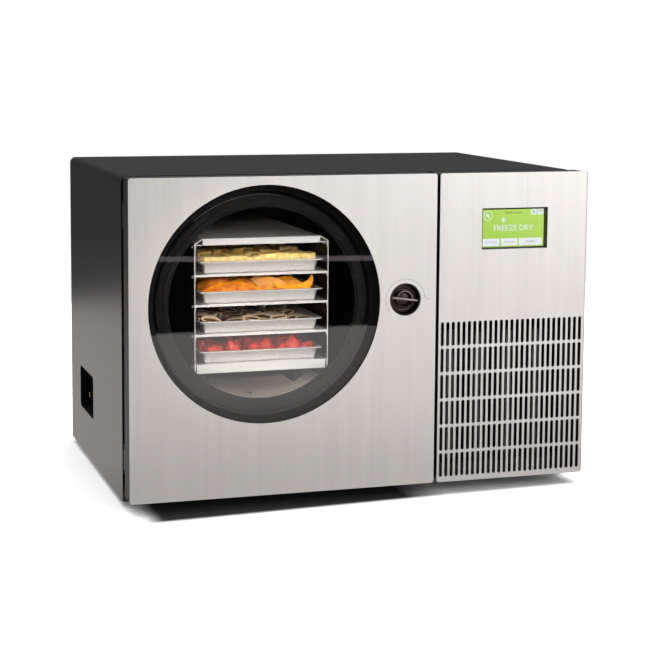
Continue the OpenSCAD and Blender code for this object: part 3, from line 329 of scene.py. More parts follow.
def hangLamp(lamp, place, aim, mirrored=True):
    # a lamp in its place, turned to its aim and not seen itself
    holder = bpy.data.objects.new(lamp.name, lamp)
    holder.location = place
    holder.rotation_euler = (Vector(aim) - Vector(place)).to_track_quat("-Z", "Y").to_euler()
    holder.visible_glossy = mirrored
    holder.visible_camera = False
    scene.collection.objects.link(holder)


for name, box in softboxes.items():
    lamp = bpy.data.lights.new(name, "AREA")
    lamp.shape = "RECTANGLE"
    lamp.size, lamp.size_y = box["size"]
    lamp.energy = box["power"]
    hangLamp(lamp, box["place"], box["aim"], box.get("mirrored", True))

beam = bpy.data.lights.new("insideLamp", "SPOT")
beam.energy = insideLamp["power"]
beam.spot_size = math.radians(insideLamp["cone"])
beam.spot_blend = insideLamp["fadedEdge"]
beam.color = toLinear(insideLamp["colour"])[:3]
beam.shadow_soft_size = insideLamp["radius"]
hangLamp(beam, insideLamp["place"], middleOf("window_disc"))

# a long thin tube light, seen only as a streak in the window
tubeForm = {
    "place": (0, -2.3, 0.141),
    "turn": 12,
    "left": -0.6,
    "right": 2.6,
    "thick": 0.015,
    "colour": "ffe9f6",
    "strength": 1.7,
}

tubeGlow, tree, skin = startMaterial("tubeGlow", {})
glow = add(tree, "Emission", {"Color": toLinear(tubeForm["colour"]), "Strength": tubeForm["strength"]})
feed(tree, tree.nodes["Material Output"], {"Surface": glow})
left, right, half = tubeForm["left"], tubeForm["right"], tubeForm["thick"] / 2
tubeLight = flatPlate("tubeLight", ((left, 0, -half), (right, 0, -half), (right, 0, half), (left, 0, half)),
                      tubeGlow)
tubeLight.location = tubeForm["place"]
tubeLight.rotation_euler = (0, 0, math.radians(tubeForm["turn"]))
for ray in ("camera", "diffuse", "transmission", "shadow", "volume_scatter"):
    setattr(tubeLight, "visible_" + ray, False)
print("stage: camera, table and lamps")


# metals

def brushedStainless(name):
    # stainless steel, belt-brushed upright: fine long lines with a blurred sheen.
    # The true scratch is 0.05 mm wide; it is drawn 0.5 mm wide so that it shows
    material, tree, skin = startMaterial(name, {"Metallic": 1.0, "Roughness": 0.47})
    fine = add(tree, "TexNoise", {"Scale": 1.0, "Detail": 3.0, "Roughness": 0.6},
               {"Vector": stretched(tree, (0.5, 40, 160))})
    broad = add(tree, "TexNoise", {"Scale": 1.0, "Detail": 2.0}, {"Vector": stretched(tree, (14, 80, 500))})
    mixed = add(tree, "Mix", {"data_type": "FLOAT", "Factor": 0.35}, {"A": fine, "B": broad})
    ramp = twoTone(tree, skin, mixed, "dedbd8", "e8e5e2", 0.35, 0.65)
    uneven = add(tree, "MapRange", {"To Min": 0.44, "To Max": 0.5}, {"Value": mixed})
    bump = add(tree, "Bump", {"Strength": 0.2, "Distance": 0.006 * mm}, {"Height": fine})
    feed(tree, skin, {"Roughness": uneven, "Normal": bump})
    return material, tree, skin, ramp


# the grey arc, dot and tick printed round the knob, and a black ring of painted shade round the cup
knobArc = {
    "radius": 32.5 * mm,
    "line": 1.1 * mm,
    "from": 6,
    "to": -140,
    "dot": 1.6 * mm,
    "dotAngle": 7,
    "tickAt": 6 * mm,
    "tickHalf": 4 * mm,
    "ink": "8d8a88",
    "inkCover": 0.5,
    "lip": 25.8 * mm,
    "lipColour": "141211",
}
knobCentre = middleOf("knob_cup")


def printedStainless():
    # brushed stainless with a turning arc and its stop mark, screen-printed grey
    f = knobArc
    material, tree, skin, ramp = brushedStainless("stainlessBrushedPrinted")
    at = nodes["door_skin"].matrix_world.inverted() @ knobCentre
    off = add(tree, "VectorMath", {"operation": "SUBTRACT", 1: at},
              {0: add(tree, "TexCoord").outputs["Object"]})
    parts = add(tree, "SeparateXYZ", links={0: off})
    flat = add(tree, "CombineXYZ", links={"X": parts.outputs["X"], "Y": parts.outputs["Z"]})
    radius = add(tree, "VectorMath", {"operation": "LENGTH"}, {0: flat})
    angle = add(tree, "Math", {"operation": "ARCTAN2"}, {0: parts.outputs["Z"], 1: parts.outputs["X"]})
    ring = add(tree, "Math", {"operation": "COMPARE", 1: f["radius"], 2: f["line"] / 2}, {0: radius})
    upper = add(tree, "Math", {"operation": "GREATER_THAN", 1: math.radians(f["from"])}, {0: angle})
    lowerLeft = add(tree, "Math", {"operation": "LESS_THAN", 1: math.radians(f["to"])}, {0: angle})
    sweep = add(tree, "Math", {"operation": "MAXIMUM"}, {0: upper, 1: lowerLeft})
    arc = add(tree, "Math", {"operation": "MULTIPLY"}, {0: ring, 1: sweep})
    turn = math.radians(f["dotAngle"])
    dotAt = (f["radius"] * math.cos(turn), f["radius"] * math.sin(turn), 0)
    dotOff = add(tree, "VectorMath", {"operation": "DISTANCE", 1: dotAt}, {0: flat})
    dot = add(tree, "Math", {"operation": "LESS_THAN", 1: f["dot"]}, {0: dotOff})
    tickAcross = add(tree, "Math", {"operation": "COMPARE", 1: 0.0, 2: f["line"] / 2},
                     {0: parts.outputs["Z"]})
    tickAlong = add(tree, "Math", {"operation": "COMPARE", 1: f["radius"] + f["tickAt"], 2: f["tickHalf"]},
                    {0: parts.outputs["X"]})
    tick = add(tree, "Math", {"operation": "MULTIPLY"}, {0: tickAcross, 1: tickAlong})
    marks = add(tree, "Math", {"operation": "MAXIMUM"}, {0: arc, 1: dot})
    marks = add(tree, "Math", {"operation": "MAXIMUM"}, {0: marks, 1: tick})
    ink = add(tree, "Math", {"operation": "MULTIPLY", 1: f["inkCover"]}, {0: marks})
    steel = add(tree, "Mix", {"data_type": "RGBA", "B": toLinear(f["ink"])}, {"Factor": ink, "A": ramp})
    # painted shade: a black ring round the cup, for the dark gap at its edge
    lip = add(tree, "Math", {"operation": "LESS_THAN", 1: f["lip"]}, {0: radius})
    gapShaded = add(tree, "Mix", {"data_type": "RGBA", "B": toLinear(f["lipColour"])},
                 {"Factor": lip, "A": steel})
    bare = add(tree, "Math", {"operation": "SUBTRACT", 0: 1.0}, {1: lip})
    feed(tree, skin, {"Base Color": gapShaded, "Metallic": bare})
    return material


# painted shade along the control skin's right edge: how wide it is and its colour
edgeShade = {
    "width": 2.2 * mm,
    "colour": "8c8490",
}


def edgeShadedStainless():
    # brushed stainless with painted shade along its right edge, for its rounded edge turned away from the
    # lamps
    material, tree, skin, ramp = brushedStainless("stainlessBrushed")
    at = nodes["control_skin"].matrix_world.inverted() @ Vector(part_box("control_skin")[1])
    place = add(tree, "SeparateXYZ", links={0: add(tree, "TexCoord").outputs["Object"]})
    # painted shade: the steel fades to violet grey over the last mm of its right edge
    away = add(tree, "MapRange", {"From Min": at.x - edgeShade["width"], "From Max": at.x},
               {"Value": place.outputs["X"]})
    steel = add(tree, "Mix", {"data_type": "RGBA", "B": toLinear(edgeShade["colour"])},
                {"Factor": away, "A": ramp})
    feed(tree, skin, {"Base Color": steel})
    return material


paint(printedStainless(), "door_skin")
paint(edgeShadedStainless(), "control_skin")


def spunStainless():
    # stainless steel, drawn drum: the rolled wall polished enough to mirror, the end wall dull with painted
    # shade
    material, tree, skin = startMaterial("stainlessDrawnSatin", {"Metallic": 1.0, "Roughness": 0.3})
    streak = add(tree, "TexNoise", {"Scale": 1.0, "Detail": 3.0}, {"Vector": stretched(tree, (30, 1.2, 30))})
    ramp = twoTone(tree, skin, streak, "b4aea9", "cbc6c1")
    facing = add(tree, "SeparateXYZ", links={0: add(tree, "TexCoord").outputs["Normal"]})
    flat = add(tree, "Math", {"operation": "ABSOLUTE"}, {0: facing.outputs["Y"]})
    endWallShadedDull = add(tree, "MapRange", {"From Min": 0.3, "From Max": 0.8}, {"Value": flat})
    # painted shade: the end wall turns deep grey
    tone = add(tree, "Mix", {"data_type": "RGBA", "B": toLinear("403b38")}, {"Factor": endWallShadedDull, "A": ramp})
    wall = add(tree, "MapRange", {"To Min": 0.05, "To Max": 0.1}, {"Value": streak})
    dull = add(tree, "Mix", {"data_type": "FLOAT", "B": 0.55}, {"Factor": endWallShadedDull, "A": wall})
    # painted light: the floor, where it faces up, drawn pale and matt so that it shows bright
    floorPaintedLit = add(tree, "MapRange", {"From Min": 0.72, "From Max": 0.86}, {"Value": facing.outputs["Z"]})
    tone = add(tree, "Mix", {"data_type": "RGBA", "B": toLinear("efe6df")}, {"Factor": floorPaintedLit, "A": tone})
    dull = add(tree, "Mix", {"data_type": "FLOAT", "B": 0.6}, {"Factor": floorPaintedLit, "A": dull})
    metal = add(tree, "MapRange", {"To Min": 1.0, "To Max": 0.1}, {"Value": floorPaintedLit})
    feed(tree, skin, {"Base Color": tone, "Roughness": dull, "Metallic": metal})
    return material


paint(spunStainless(), "chamber_drum", "strike_cup")


def foldedSheet():
    # aluminium sheet, rolled and folded: bright with faint rolling lines along the shelf; the upright
    # sides carry painted shade, darker and smoother, so they stay dim when seen along their length
    material, tree, skin = startMaterial("aluminiumRolledSheet", {"Metallic": 1.0, "Roughness": 0.5})
    roll = add(tree, "TexNoise", {"Scale": 1.0, "Detail": 2.0}, {"Vector": stretched(tree, (60, 0.8, 0.8))})
    ramp = twoTone(tree, skin, roll, "d9d8d6", "ebeae9")
    facing = add(tree, "SeparateXYZ", links={0: add(tree, "TexCoord").outputs["Normal"]})
    upright = add(tree, "MapRange", {"From Min": 0.8, "From Max": 0.95},
                  {"Value": add(tree, "Math", {"operation": "ABSOLUTE"}, {0: facing.outputs["X"]})})
    # painted shade: the upright sides turn dark grey-brown
    tone = add(tree, "Mix", {"data_type": "RGBA", "B": toLinear("6a635c")}, {"Factor": upright, "A": ramp})
    uneven = add(tree, "MapRange", {"To Min": 0.46, "To Max": 0.58}, {"Value": roll})
    sheen = add(tree, "Mix", {"data_type": "FLOAT", "B": 0.3}, {"Factor": upright, "A": uneven})
    feed(tree, skin, {"Base Color": tone, "Roughness": sheen})
    return material


paint(foldedSheet(), "rack_frame", "top_shelf", "middle_shelves", "bottom_shelf")

# stainless steel, deep pressed: bright, with the soft mottling of drawn sheet
trayMetal = finish("stainlessPressed", {"Metallic": 1.0, "Roughness": 0.5}, (6, 6, 2), ("e6e2df", "f6f3f1"),
                   detail=4.0, sheen=(0.42, 0.5), relief=(0.05, 0.3))


def bronzeCasting(name, dark, light):
    # zinc casting with a bronze-black coat: dark brown metal, satin, brighter where light rakes it
    return finish(name, {"Metallic": 0.9, "Roughness": 0.36}, 2.5, (dark, light), detail=4.0,
                  sheen=(0.3, 0.45), relief=(0.06, 0.3))


bronze = bronzeCasting("zincCastBronzeBlack", "332c29", "473e39")
# a paler bronze as painted highlight on the knob's upper rim and grip
highlightBronze = bronzeCasting("zincCastBronzePaintedHighlight", "8f8580", "aca29c")
paint(bronze, "knob_cup")


def zincPlated(name, low, high):
    # steel, zinc plated: pale grey with a faint cloudy bloom
    return finish(name, {"Metallic": 1.0, "Roughness": 0.3}, 4, ("a5a8aa", "c6c8c9"), detail=3.0,
                  sheen=(low, high))


paint(zincPlated("steelZincPlated", 0.25, 0.42), "latch_spindle", "hinge_pins", "panel_screws", "door_screws")
paint(zincPlated("steelZincTumbled", 0.5, 0.62), "rack_screws")  # duller, rubbed in a tumbler

# steel, black zinc plated: dark grey metal, slightly cloudy
darkZinc = finish("steelBlackZinc", {"Metallic": 1.0, "Roughness": 0.42}, 6, ("2a2b2f", "3d3e42"),
                  detail=3.0)
paint(darkZinc, "hinge_leaves", "hinge_brackets")

# copper, drawn tube: warm metal, browned in soft clouds
paint(finish("copperDrawn", {"Metallic": 1.0, "Roughness": 0.3}, 15, ("a85f3c", "d68d63"),
             detail=5.0, sheen=(0.25, 0.45)), "evaporator_coil", "refrigerant_lines", "filter_drier")

# brass, turned on a lathe: yellow metal with fine rings along its axis, drawn 0.3 mm apart
paint(finish("brassTurned", {"Metallic": 1.0, "Roughness": 0.25}, (0.3, 20, 20), ("a98642", "cfae66"),
             sheen=(0.2, 0.36)), "vacuum_fitting", "drain_valve")

# aluminium, mill finish: pale grey with rolling lines
paint(finish("aluminiumMillFinish", {"Metallic": 1.0, "Roughness": 0.38}, (1, 1, 60), ("9fa1a3", "b9babc")),
      "condenser", "power_supply")


# coats on steel

def powderCoat():
    # steel with satin black powder coat: even black with a fine pebbled skin that greys the glancing
    # light. The pebble is 0.4 mm across, drawn at 0.8 mm
    material, tree, skin = startMaterial("steelPowderCoatedBlack", {
        "Metallic": 0.0, "Roughness": 0.4, "IOR": 1.5})
    pebble = add(tree, "TexNoise", {"Scale": 1.0, "Detail": 2.0}, {"Vector": stretched(tree, 0.8)})
    cloud = add(tree, "TexNoise", {"Scale": 1.0, "Detail": 2.0}, {"Vector": stretched(tree, 90)})
    twoTone(tree, skin, cloud, "161617", "1b1b1d")
    uneven = add(tree, "MapRange", {"To Min": 0.24, "To Max": 0.32}, {"Value": pebble})
    bump = add(tree, "Bump", {"Strength": 0.25, "Distance": 0.02 * mm}, {"Height": pebble})
    feed(tree, skin, {"Roughness": uneven, "Normal": bump})
    return material


paint(powderCoat(), "cover", "base_pan", "back_panel", "bulkhead")

# steel, black enamel: glossy with slight orange peel, 4 mm across
paint(finish("steelEnamelBlack", {"Roughness": 0.22, "IOR": 1.5}, 4, ("101011", "151517"),
             detail=1.0, relief=(0.1, 0.4)), "compressor")

# steel, grey enamel: even satin grey
paint(finish("steelEnamelGrey", {"Roughness": 0.35, "IOR": 1.5}, 3, ("4b4d50", "56585b"),
             detail=1.0, relief=(0.08, 0.3)), "fan_motor")


# plastics, rubber, foam and glass

# ABS, injection moulded with a fine spark texture: deep black, dull
blackAbs = finish("absMouldedBlack", {"Roughness": 0.5, "IOR": 1.53}, 0.7, ("121213", "181819"),
                  kind="TexVoronoi", stops=(0.2, 0.8), sheen=(0.45, 0.6), relief=(0.03, 0.3))
paint(blackAbs, "door_body", "control_body", "display_bezel", "power_inlet", "power_switch", "pump_outlet",
      "fan_shroud", "feedthrough", "fan_rotor", "rack_runners")

# polystyrene, vacuum formed with a matt grain: black plastic drawn darker still, painted shade for the recess
# and window neck
paint(finish("polystyreneFormedMatt", {"Roughness": 0.8, "IOR": 1.59, "Specular IOR Level": 0.12},
             0.9, ("060606", "0b0b0b"), relief=(0.03, 0.3)), "port_box", "neck_ring")


def clearSheet(name, settings, shadowColour):
    # a clear polished sheet that lets lamplight straight through
    material, tree, skin = startMaterial(name, {"Transmission Weight": 1.0, **settings})
    rays = add(tree, "LightPath")
    clear = add(tree, "BsdfTransparent", {"Color": toLinear(shadowColour)})
    pick = add(tree, "MixShader", links={0: rays.outputs["Is Shadow Ray"], 1: skin, 2: clear})
    feed(tree, tree.nodes["Material Output"], {"Surface": pick})
    return material, tree, skin


def castAcrylic():
    # acrylic, cast and polished: clear, a thin mirror of the room on each face
    material, tree, skin = clearSheet("acrylicCastClear", {
        "Base Color": toLinear("fbfcfc"), "Roughness": 0.0, "IOR": 1.49}, "f2f4f4")
    haze = add(tree, "TexNoise", {"Scale": 1.0, "Detail": 2.0}, {"Vector": stretched(tree, 40)})
    feed(tree, skin, {"Roughness": add(tree, "MapRange", {"To Min": 0.0, "To Max": 0.015}, {"Value": haze})})
    return material


paint(castAcrylic(), "window_disc")

# soda-lime glass, polished: clear cover over the screen
paint(clearSheet("glassPolished", {"Base Color": toLinear("ffffff"), "Roughness": 0.02, "IOR": 1.5},
                 "ffffff")[0], "touch_glass")

# silicone rubber, moulded: brown-black drawn darker still as painted shade inside the window, hardly any
# sheen
paint(finish("siliconeMouldedBlack", {"Roughness": 0.55, "IOR": 1.41, "Specular IOR Level": 0.2}, 3,
             ("0b0a0a", "121010"), detail=4.0, sheen=(0.5, 0.62)), "chamber_gasket")

# nitrile rubber, moulded: near black, matt
paint(finish("nitrileMoulded", {"Roughness": 0.7, "IOR": 1.52}, 1.5, ("0f0f0f", "161616"),
             detail=3.0, relief=(0.05, 0.3)), "window_seal", "feet", "compressor_grommets")

# polyurethane foam, poured in place: cream, pitted
paint(finish("polyurethaneFoamPoured", {"Roughness": 0.9, "IOR": 1.4}, 3, ("cdbf94", "e4d9b6"),
             kind="TexVoronoi", stops=(0.1, 0.7), relief=(0.5, 0.5)), "foam_jacket")

# silicone heater mat, cured over glass cloth: red-brown with a faint 1.2 mm weave
paint(finish("siliconeOverGlassCloth", {"Roughness": 0.6, "IOR": 1.43}, 1.2, ("6b2a18", "7a3420"),
             kind="TexChecker", stops=(0.2, 0.8), relief=(0.05, 0.3)), "heater_mats")

# nylon, moulded: milky white, waxy
paint(finish("nylonMoulded", {"Roughness": 0.4, "IOR": 1.53, "Subsurface Weight": 0.1}, 10,
             ("d9d4c4", "e6e2d6")), "rack_cable")

# glass-epoxy board under green solder mask: glossy green, weave just showing
solderMask = finish("boardSolderMaskGreen", {"Roughness": 0.3, "IOR": 1.5}, 0.9,
                    ("17492a", "1d5531"), kind="TexChecker", stops=(0.2, 0.8))
paint(solderMask, "relay_board")

# PVC vacuum tube, extruded: grey, slightly waxy
paint(finish("pvcExtrudedGrey", {"Roughness": 0.4, "IOR": 1.53}, 8, ("7d8386", "8f9598")),
      "chamber_tubes")


def mouldedRed(name, dark, light):
    # moulded or dipped red plastic: glossy, even
    return finish(name, {"Roughness": 0.25, "IOR": 1.5}, 5, (dark, light), sheen=(0.2, 0.3))


paint(mouldedRed("polycarbonateRed", "a51712", "b61f18"), "switch_rocker")
paint(mouldedRed("vinylDippedRed", "9c211a", "ab2a21"), "drain_lever")
print("stage: finishes on the frame")


# pieces built in mesh code

def ringPoints(halfWide, halfLong, radius, steps=7):
    # a rounded rectangle about the origin
    out = []
    for turn, (sx, sy) in enumerate(((1, 1), (-1, 1), (-1, -1), (1, -1))):
        for i in range(steps + 1):
            a = math.radians(90 * turn + 90 * i / steps)
            out.append((sx * (halfWide - radius) + radius * math.cos(a),
                        sy * (halfLong - radius) + radius * math.sin(a)))
    return out


def circlePoints(radius, count):
    return [(radius * math.cos(2 * math.pi * i / count), radius * math.sin(2 * math.pi * i / count))
            for i in range(count)]


def loft(b, rings, place, skins=None, caps=(0, 0)):
    # a skin over rings of points; skins gives the material of each strip along the rings, caps that of the
    # end faces
    rows = [[b.verts.new(place @ Vector(p)) for p in ring] for ring in rings]
    count = len(rows[0])
    for one, two in zip(rows, rows[1:]):
        for i in range(count):
            j = (i + 1) % count
            face = b.faces.new((one[i], one[j], two[j], two[i]))
            face.material_index = skins[i] if skins else 0
    for row, cap in ((rows[0][::-1], caps[0]), (rows[-1], caps[1])):
        if cap is not None:
            b.faces.new(row).material_index = cap


def build(name, b, body, materials, sharp):
    # the finished mesh as a piece that moves with its body
    bmesh.ops.recalc_face_normals(b, faces=b.faces)
    mesh = bpy.data.meshes.new(name)
    b.to_mesh(mesh)
    b.free()
    for face in mesh.polygons:
        face.use_smooth = True
    mesh.set_sharp_from_angle(angle=math.radians(sharp))
    for material in materials:
        mesh.materials.append(material)
    obj = bpy.data.objects.new(name, mesh)
    scene.collection.objects.link(obj)
    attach(obj, body)
    return obj


# trays
trayForm = {
    "rim": 5.5 * mm,
    "bead": 1.1 * mm,
    "corner": 8 * mm,
    "rimCorner": 6 * mm,
    "leastCorner": 0.8 * mm,
    "slope": 4 * mm,
    "fillet": 3.2 * mm,
    "sheet": 0.9 * mm,
    "outerWall": ((-0.3, 3.2), (0.6, 0.9)),  # mm out from the wall, mm below the rim's top
    "innerWall": ((1.4, 0.1), (-0.2, 0.7), (-1.2, 2.6)),
    "curve": (0, 22, 45, 68, 90),  # steps round the fillet and round the bead, in degrees
    "beadCurve": (-150, -120, -90, -60, -30, 0, 30, 60, 90),
}


def pressTray(name):
    # one pressed pan with filleted floor, sloping walls and a beaded rim
    f = trayForm
    low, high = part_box(name)
    wide, long, tall = (high.x - low.x) / 2, (high.y - low.y) / 2, high.z - low.z
    bodyHalf = wide - f["rim"]
    foot = bodyHalf - f["slope"]

    def ring(half, z):
        out = max(half - bodyHalf, 0) / f["rim"]
        radius = min(half - bodyHalf, 0) + f["corner"] + (f["rimCorner"] - f["corner"]) * out
        return [(x, y, z) for x, y in ringPoints(half, half + long - wide, max(radius, f["leastCorner"]))]

    def fillet(foot, lift, a):
        return ring(foot - f["fillet"] + f["fillet"] * math.sin(a), lift + f["fillet"] * (1 - math.cos(a)))

    def wall(rows):
        return [ring(bodyHalf + out * mm, tall - down * mm) for out, down in rows]

    quarter = [math.radians(a) for a in f["curve"]]
    centre = wide - f["bead"]
    rows = [fillet(foot, 0, a) for a in quarter] + wall(f["outerWall"])
    for a in f["beadCurve"]:
        t = math.radians(a)
        rows.append(ring(centre + f["bead"] * math.cos(t), tall - f["bead"] + f["bead"] * math.sin(t)))
    rows += wall(f["innerWall"]) + [fillet(foot - f["sheet"], f["sheet"], a) for a in reversed(quarter)]
    b = bmesh.new()
    loft(b, rows, Matrix.Translation(((low.x + high.x) / 2, (low.y + high.y) / 2, low.z)))
    pan = build(name.replace("tray_", "pressedTray"), b, "cabinet", [trayMetal], 50)
    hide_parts(name)


for i in range(1, 5):
    pressTray("tray_%d" % i)
print("stage: trays")


# food: sizes in mm, drawn between two limits. Spots are x from the tray's middle, y from its front, height,
# tilt, lean and turn, each moved by its jitter; a layer is a height and a setback. The front row is listed
# one by one
foods = {
    "paleFruit": {
        "long": (13, 19), "wide": (8, 11), "tall": (10, 13), "lean": 1.5,
        "rows": 11, "columns": 5, "across": 36, "along": 30, "first": 24, "layers": ((2, 0), (12, 4)),
        "lie": (0, 0, (0, 0, math.pi / 2)),
        "jitter": ((-3, 3), (-4, 4), (0, 2.5), (-0.1, 0.1), (-0.08, 0.08), (-0.3, 0.3)),
        "front": [(x, 20, z, 0.05, 0, 0) for x, z in
                  ((-80, 13), (-57, 12), (-34, 14), (-12, 13), (14, 16), (38, 17), (60, 14), (80, 14))],
        "frontJitter": (None, None, (0, 2), None, (-0.08, 0.08), (-0.3, 0.3)),
    },
    "peach": {
        "radius": (26, 31), "halfAngle": (17, 24),
        "rows": 11, "columns": 4, "across": 44, "along": 28, "first": 40, "layers": ((-14, 0),),
        "lie": (0, 0, 0),
        "jitter": ((-6, 6), None, (-3, 2), (-0.6, 0.6), (-0.15, 0.15), (-0.6, 0.6)),
        # leaning slices, and one that arches at the right
        "front": ((-72, 26, 3, 1.25, 0.1, 0.1), (-50, 26, 2, 1.05, -0.25, 0.3),
                  (-24, 26, 4, 1.15, 0.2, -0.15), (4, 26, 0, 1.3, 0.25, 0.1), (28, 26, 0, 1.35, 0.15, -0.1),
                  (58, 30, 33, math.pi - 0.35, 0.14, 0.08)),
    },
    "mushroom": {
        "cap": (15, 19), "slice": (4, 5.5),
        "rows": 13, "columns": 6, "across": 31, "along": 25, "first": 30, "layers": ((7, 0),),
        "lie": (-math.pi / 2, 0, 0),
        "jitter": ((-5, 5), (-4, 4), (0, 6), (-0.2, 0.5), (-0.35, 0.35), (-1.1, 1.1)),
        "front": ((-78, 24, 17, -0.9, 0.3, 0.4), (-36, 24, 16, -1.2, -0.2, -0.5),
                  (-10, 24, 18, -1.1, 0.2, 0.2), (34, 24, 18, -1.15, -0.25, -0.2),
                  (76, 24, 16, -1.3, 0.1, 0.5)),
    },
    "strawberry": {
        "radius": (11, 13.5), "tall": (23, 29), "squash": (0.82, 1.0), "seed": 2.6,
        "rows": 12, "columns": 7, "across": 25.5, "along": 26, "first": 40, "layers": ((0, 0),),
        "lie": (0, 0, 0),
        "jitter": ((-3, 3), (-3, 3), (0, 3), (-0.9, 0.9), (-0.9, 0.9), (0, 6.28)),
        "front": [(x, 24, z, tilt, lean, 0.3) for x, z, tilt, lean in
                  ((-84, 1, 0.2, 1.3), (-62, 2, 0.1, -1.2), (-36, 8, 0.1, -0.5), (-14, 2, 0.2, 1.25),
                   (9, 11, -0.1, 0.45), (34, 4, 0.1, 1.3), (58, 12, 0.05, -0.2), (76, 3, 0.1, 1.0))],
    },
}


def flesh(name, dark, light, grain, roughness, depth, seeds=None):
    # moist cut fruit or vegetable: soft light inside, two tones in patches, a low uneven sheen
    material, tree, skin = startMaterial(name, {
        "Roughness": roughness, "IOR": 1.4, "Subsurface Weight": 0.15,
        "Subsurface Radius": (3 * mm, 1.5 * mm, 0.8 * mm), "Subsurface Scale": 1.0})
    patch = add(tree, "TexNoise", {"Scale": 1.0, "Detail": 4.0},
                {"Vector": stretched(tree, grain)})
    ramp = twoTone(tree, skin, patch, dark, light, 0.35, 0.65)
    sheen = add(tree, "MapRange", {"To Min": roughness - 0.1, "To Max": roughness + 0.1}, {"Value": patch})
    height, strength = patch, 0.5
    if seeds:
        # seeds in their pits
        size = foods["strawberry"]["seed"]
        height = add(tree, "TexVoronoi", {"Scale": 1.0}, {"Vector": stretched(tree, size)})
        strength = 0.6
        seed = add(tree, "Math", {"operation": "LESS_THAN", 1: 0.17}, {0: height})
        both = add(tree, "Mix", {"data_type": "RGBA", "B": toLinear(seeds)}, {"Factor": seed, "A": ramp})
        feed(tree, skin, {"Base Color": both})
    bump = add(tree, "Bump", {"Strength": strength, "Distance": depth * mm}, {"Height": height})
    feed(tree, skin, {"Roughness": sheen, "Normal": bump})
    return material


def chunk(b, f, dice, place):
    # flat-topped block of pale fruit with softened corners
    a, c, h = [dice.uniform(*f[side]) * mm for side in ("long", "wide", "tall")]
    lean = dice.uniform(-f["lean"], f["lean"]) * mm
    waves = [dice.uniform(0.94, 1.04) for _ in range(18)]
    rows = []
    for z, grow in ((0, 0.86), (0.1, 0.97), (0.5, 1.0), (0.9, 0.98), (1.0, 0.9)):
        ring = []
        for i, wave in enumerate(waves):
            t = 2 * math.pi * i / 18
            u, v = math.cos(t), math.sin(t)
            k = (abs(u) ** 3.6 + abs(v) ** 3.6) ** (-1 / 3.6) * grow * wave
            ring.append((a * u * k + lean * z, c * v * k, h * z))
        rows.append(ring)
    loft(b, rows, place)


def crescent(b, f, dice, place):
    # peach segment: rounded skin outside, two cut faces, red hollow where the stone was
    big, halfAngle = dice.uniform(*f["radius"]) * mm, math.radians(dice.uniform(*f["halfAngle"]))
    rows = []
    for step in range(-6, 7):
        t = math.radians(step * 13.5)
        reach = big * max(math.cos(t), 0.06)
        core = min(big * 0.42, reach * 0.55) * max(math.cos(t * 1.05), 0.1)
        outer = [(reach, halfAngle * j / 3) for j in range(-3, 4)]
        inner = [(core, halfAngle * j) for j in (1, 0, -1)]
        rows.append([(big * 1.12 * math.sin(t), r * math.sin(a), r * math.cos(a)) for r, a in outer + inner])
    loft(b, rows, place, skins=[1] * 6 + [0, 2, 2, 0])


def mushroom(b, f, dice, place):
    # upright slice through a mushroom: cap, stem, thin brown skin, dark band of gills
    r, t = dice.uniform(*f["cap"]) * mm, dice.uniform(*f["slice"]) * mm
    outline = [(r * math.cos(a), r * 0.72 * math.sin(a)) for a in map(math.radians, range(0, 181, 15))]
    outline += [(-r * 0.86, -0.16 * r), (-r * 0.36, -0.1 * r), (-r * 0.3, -0.75 * r), (-r * 0.38, -0.95 * r),
                (r * 0.38, -0.95 * r), (r * 0.3, -0.75 * r), (r * 0.36, -0.1 * r), (r * 0.86, -0.16 * r)]
    skins = [1] * 13 + [1, 0, 0, 0, 0, 0, 0, 1]
    layers = ((0, 0.95), (0.5 * mm, 1), (t - 0.5 * mm, 1), (t, 0.95))
    loft(b, [[(x * k, z, y * k) for x, y in outline] for z, k in layers], place, skins=skins)
    gills = [(r * 0.8 * math.cos(a), r * 0.3 * math.sin(a)) for a in map(math.radians, range(0, 181, 30))]
    gills += [(-r * 0.4, -0.06 * r), (r * 0.4, -0.06 * r)]
    loft(b, [[(x, z, y) for x, y in gills] for z in (-0.15 * mm, t + 0.15 * mm)], place, skins=[1] * 9,
         caps=(1, 1))


def strawberry(b, f, dice, place):
    # whole hulled berry standing on its cut end, its point up
    r, h = dice.uniform(*f["radius"]) * mm, dice.uniform(*f["tall"]) * mm
    squash = dice.uniform(*f["squash"])
    rows = []
    for z, k in ((0, 0.45), (0.03, 0.68), (0.12, 0.93), (0.28, 1.0), (0.46, 0.92), (0.64, 0.72), (0.8, 0.47),
                 (0.92, 0.22), (0.985, 0.07)):
        rows.append([(x * k, y * k * squash, h * z) for x, y in circlePoints(r, 18)])
    loft(b, rows, place)


def spots(f, dice):
    # where each piece of one food lies: rows and columns over the tray, then the front row
    def moved(spot, jitter):
        out = []
        for value, limits in zip(spot, jitter):
            base = dice.choice(value) if isinstance(value, tuple) else value
            out.append(base + dice.uniform(*limits) if limits else base)
        return out

    for height, setback in f["layers"]:
        for row in range(f["rows"]):
            for column in range(f["columns"]):
                x = (column - (f["columns"] - 1) / 2) * f["across"]
                y = f["first"] + setback + row * f["along"]
                yield moved((x, y, height, *f["lie"]), f["jitter"])
    for spot in f["front"]:
        yield moved(spot, f.get("frontJitter", [None] * 6))


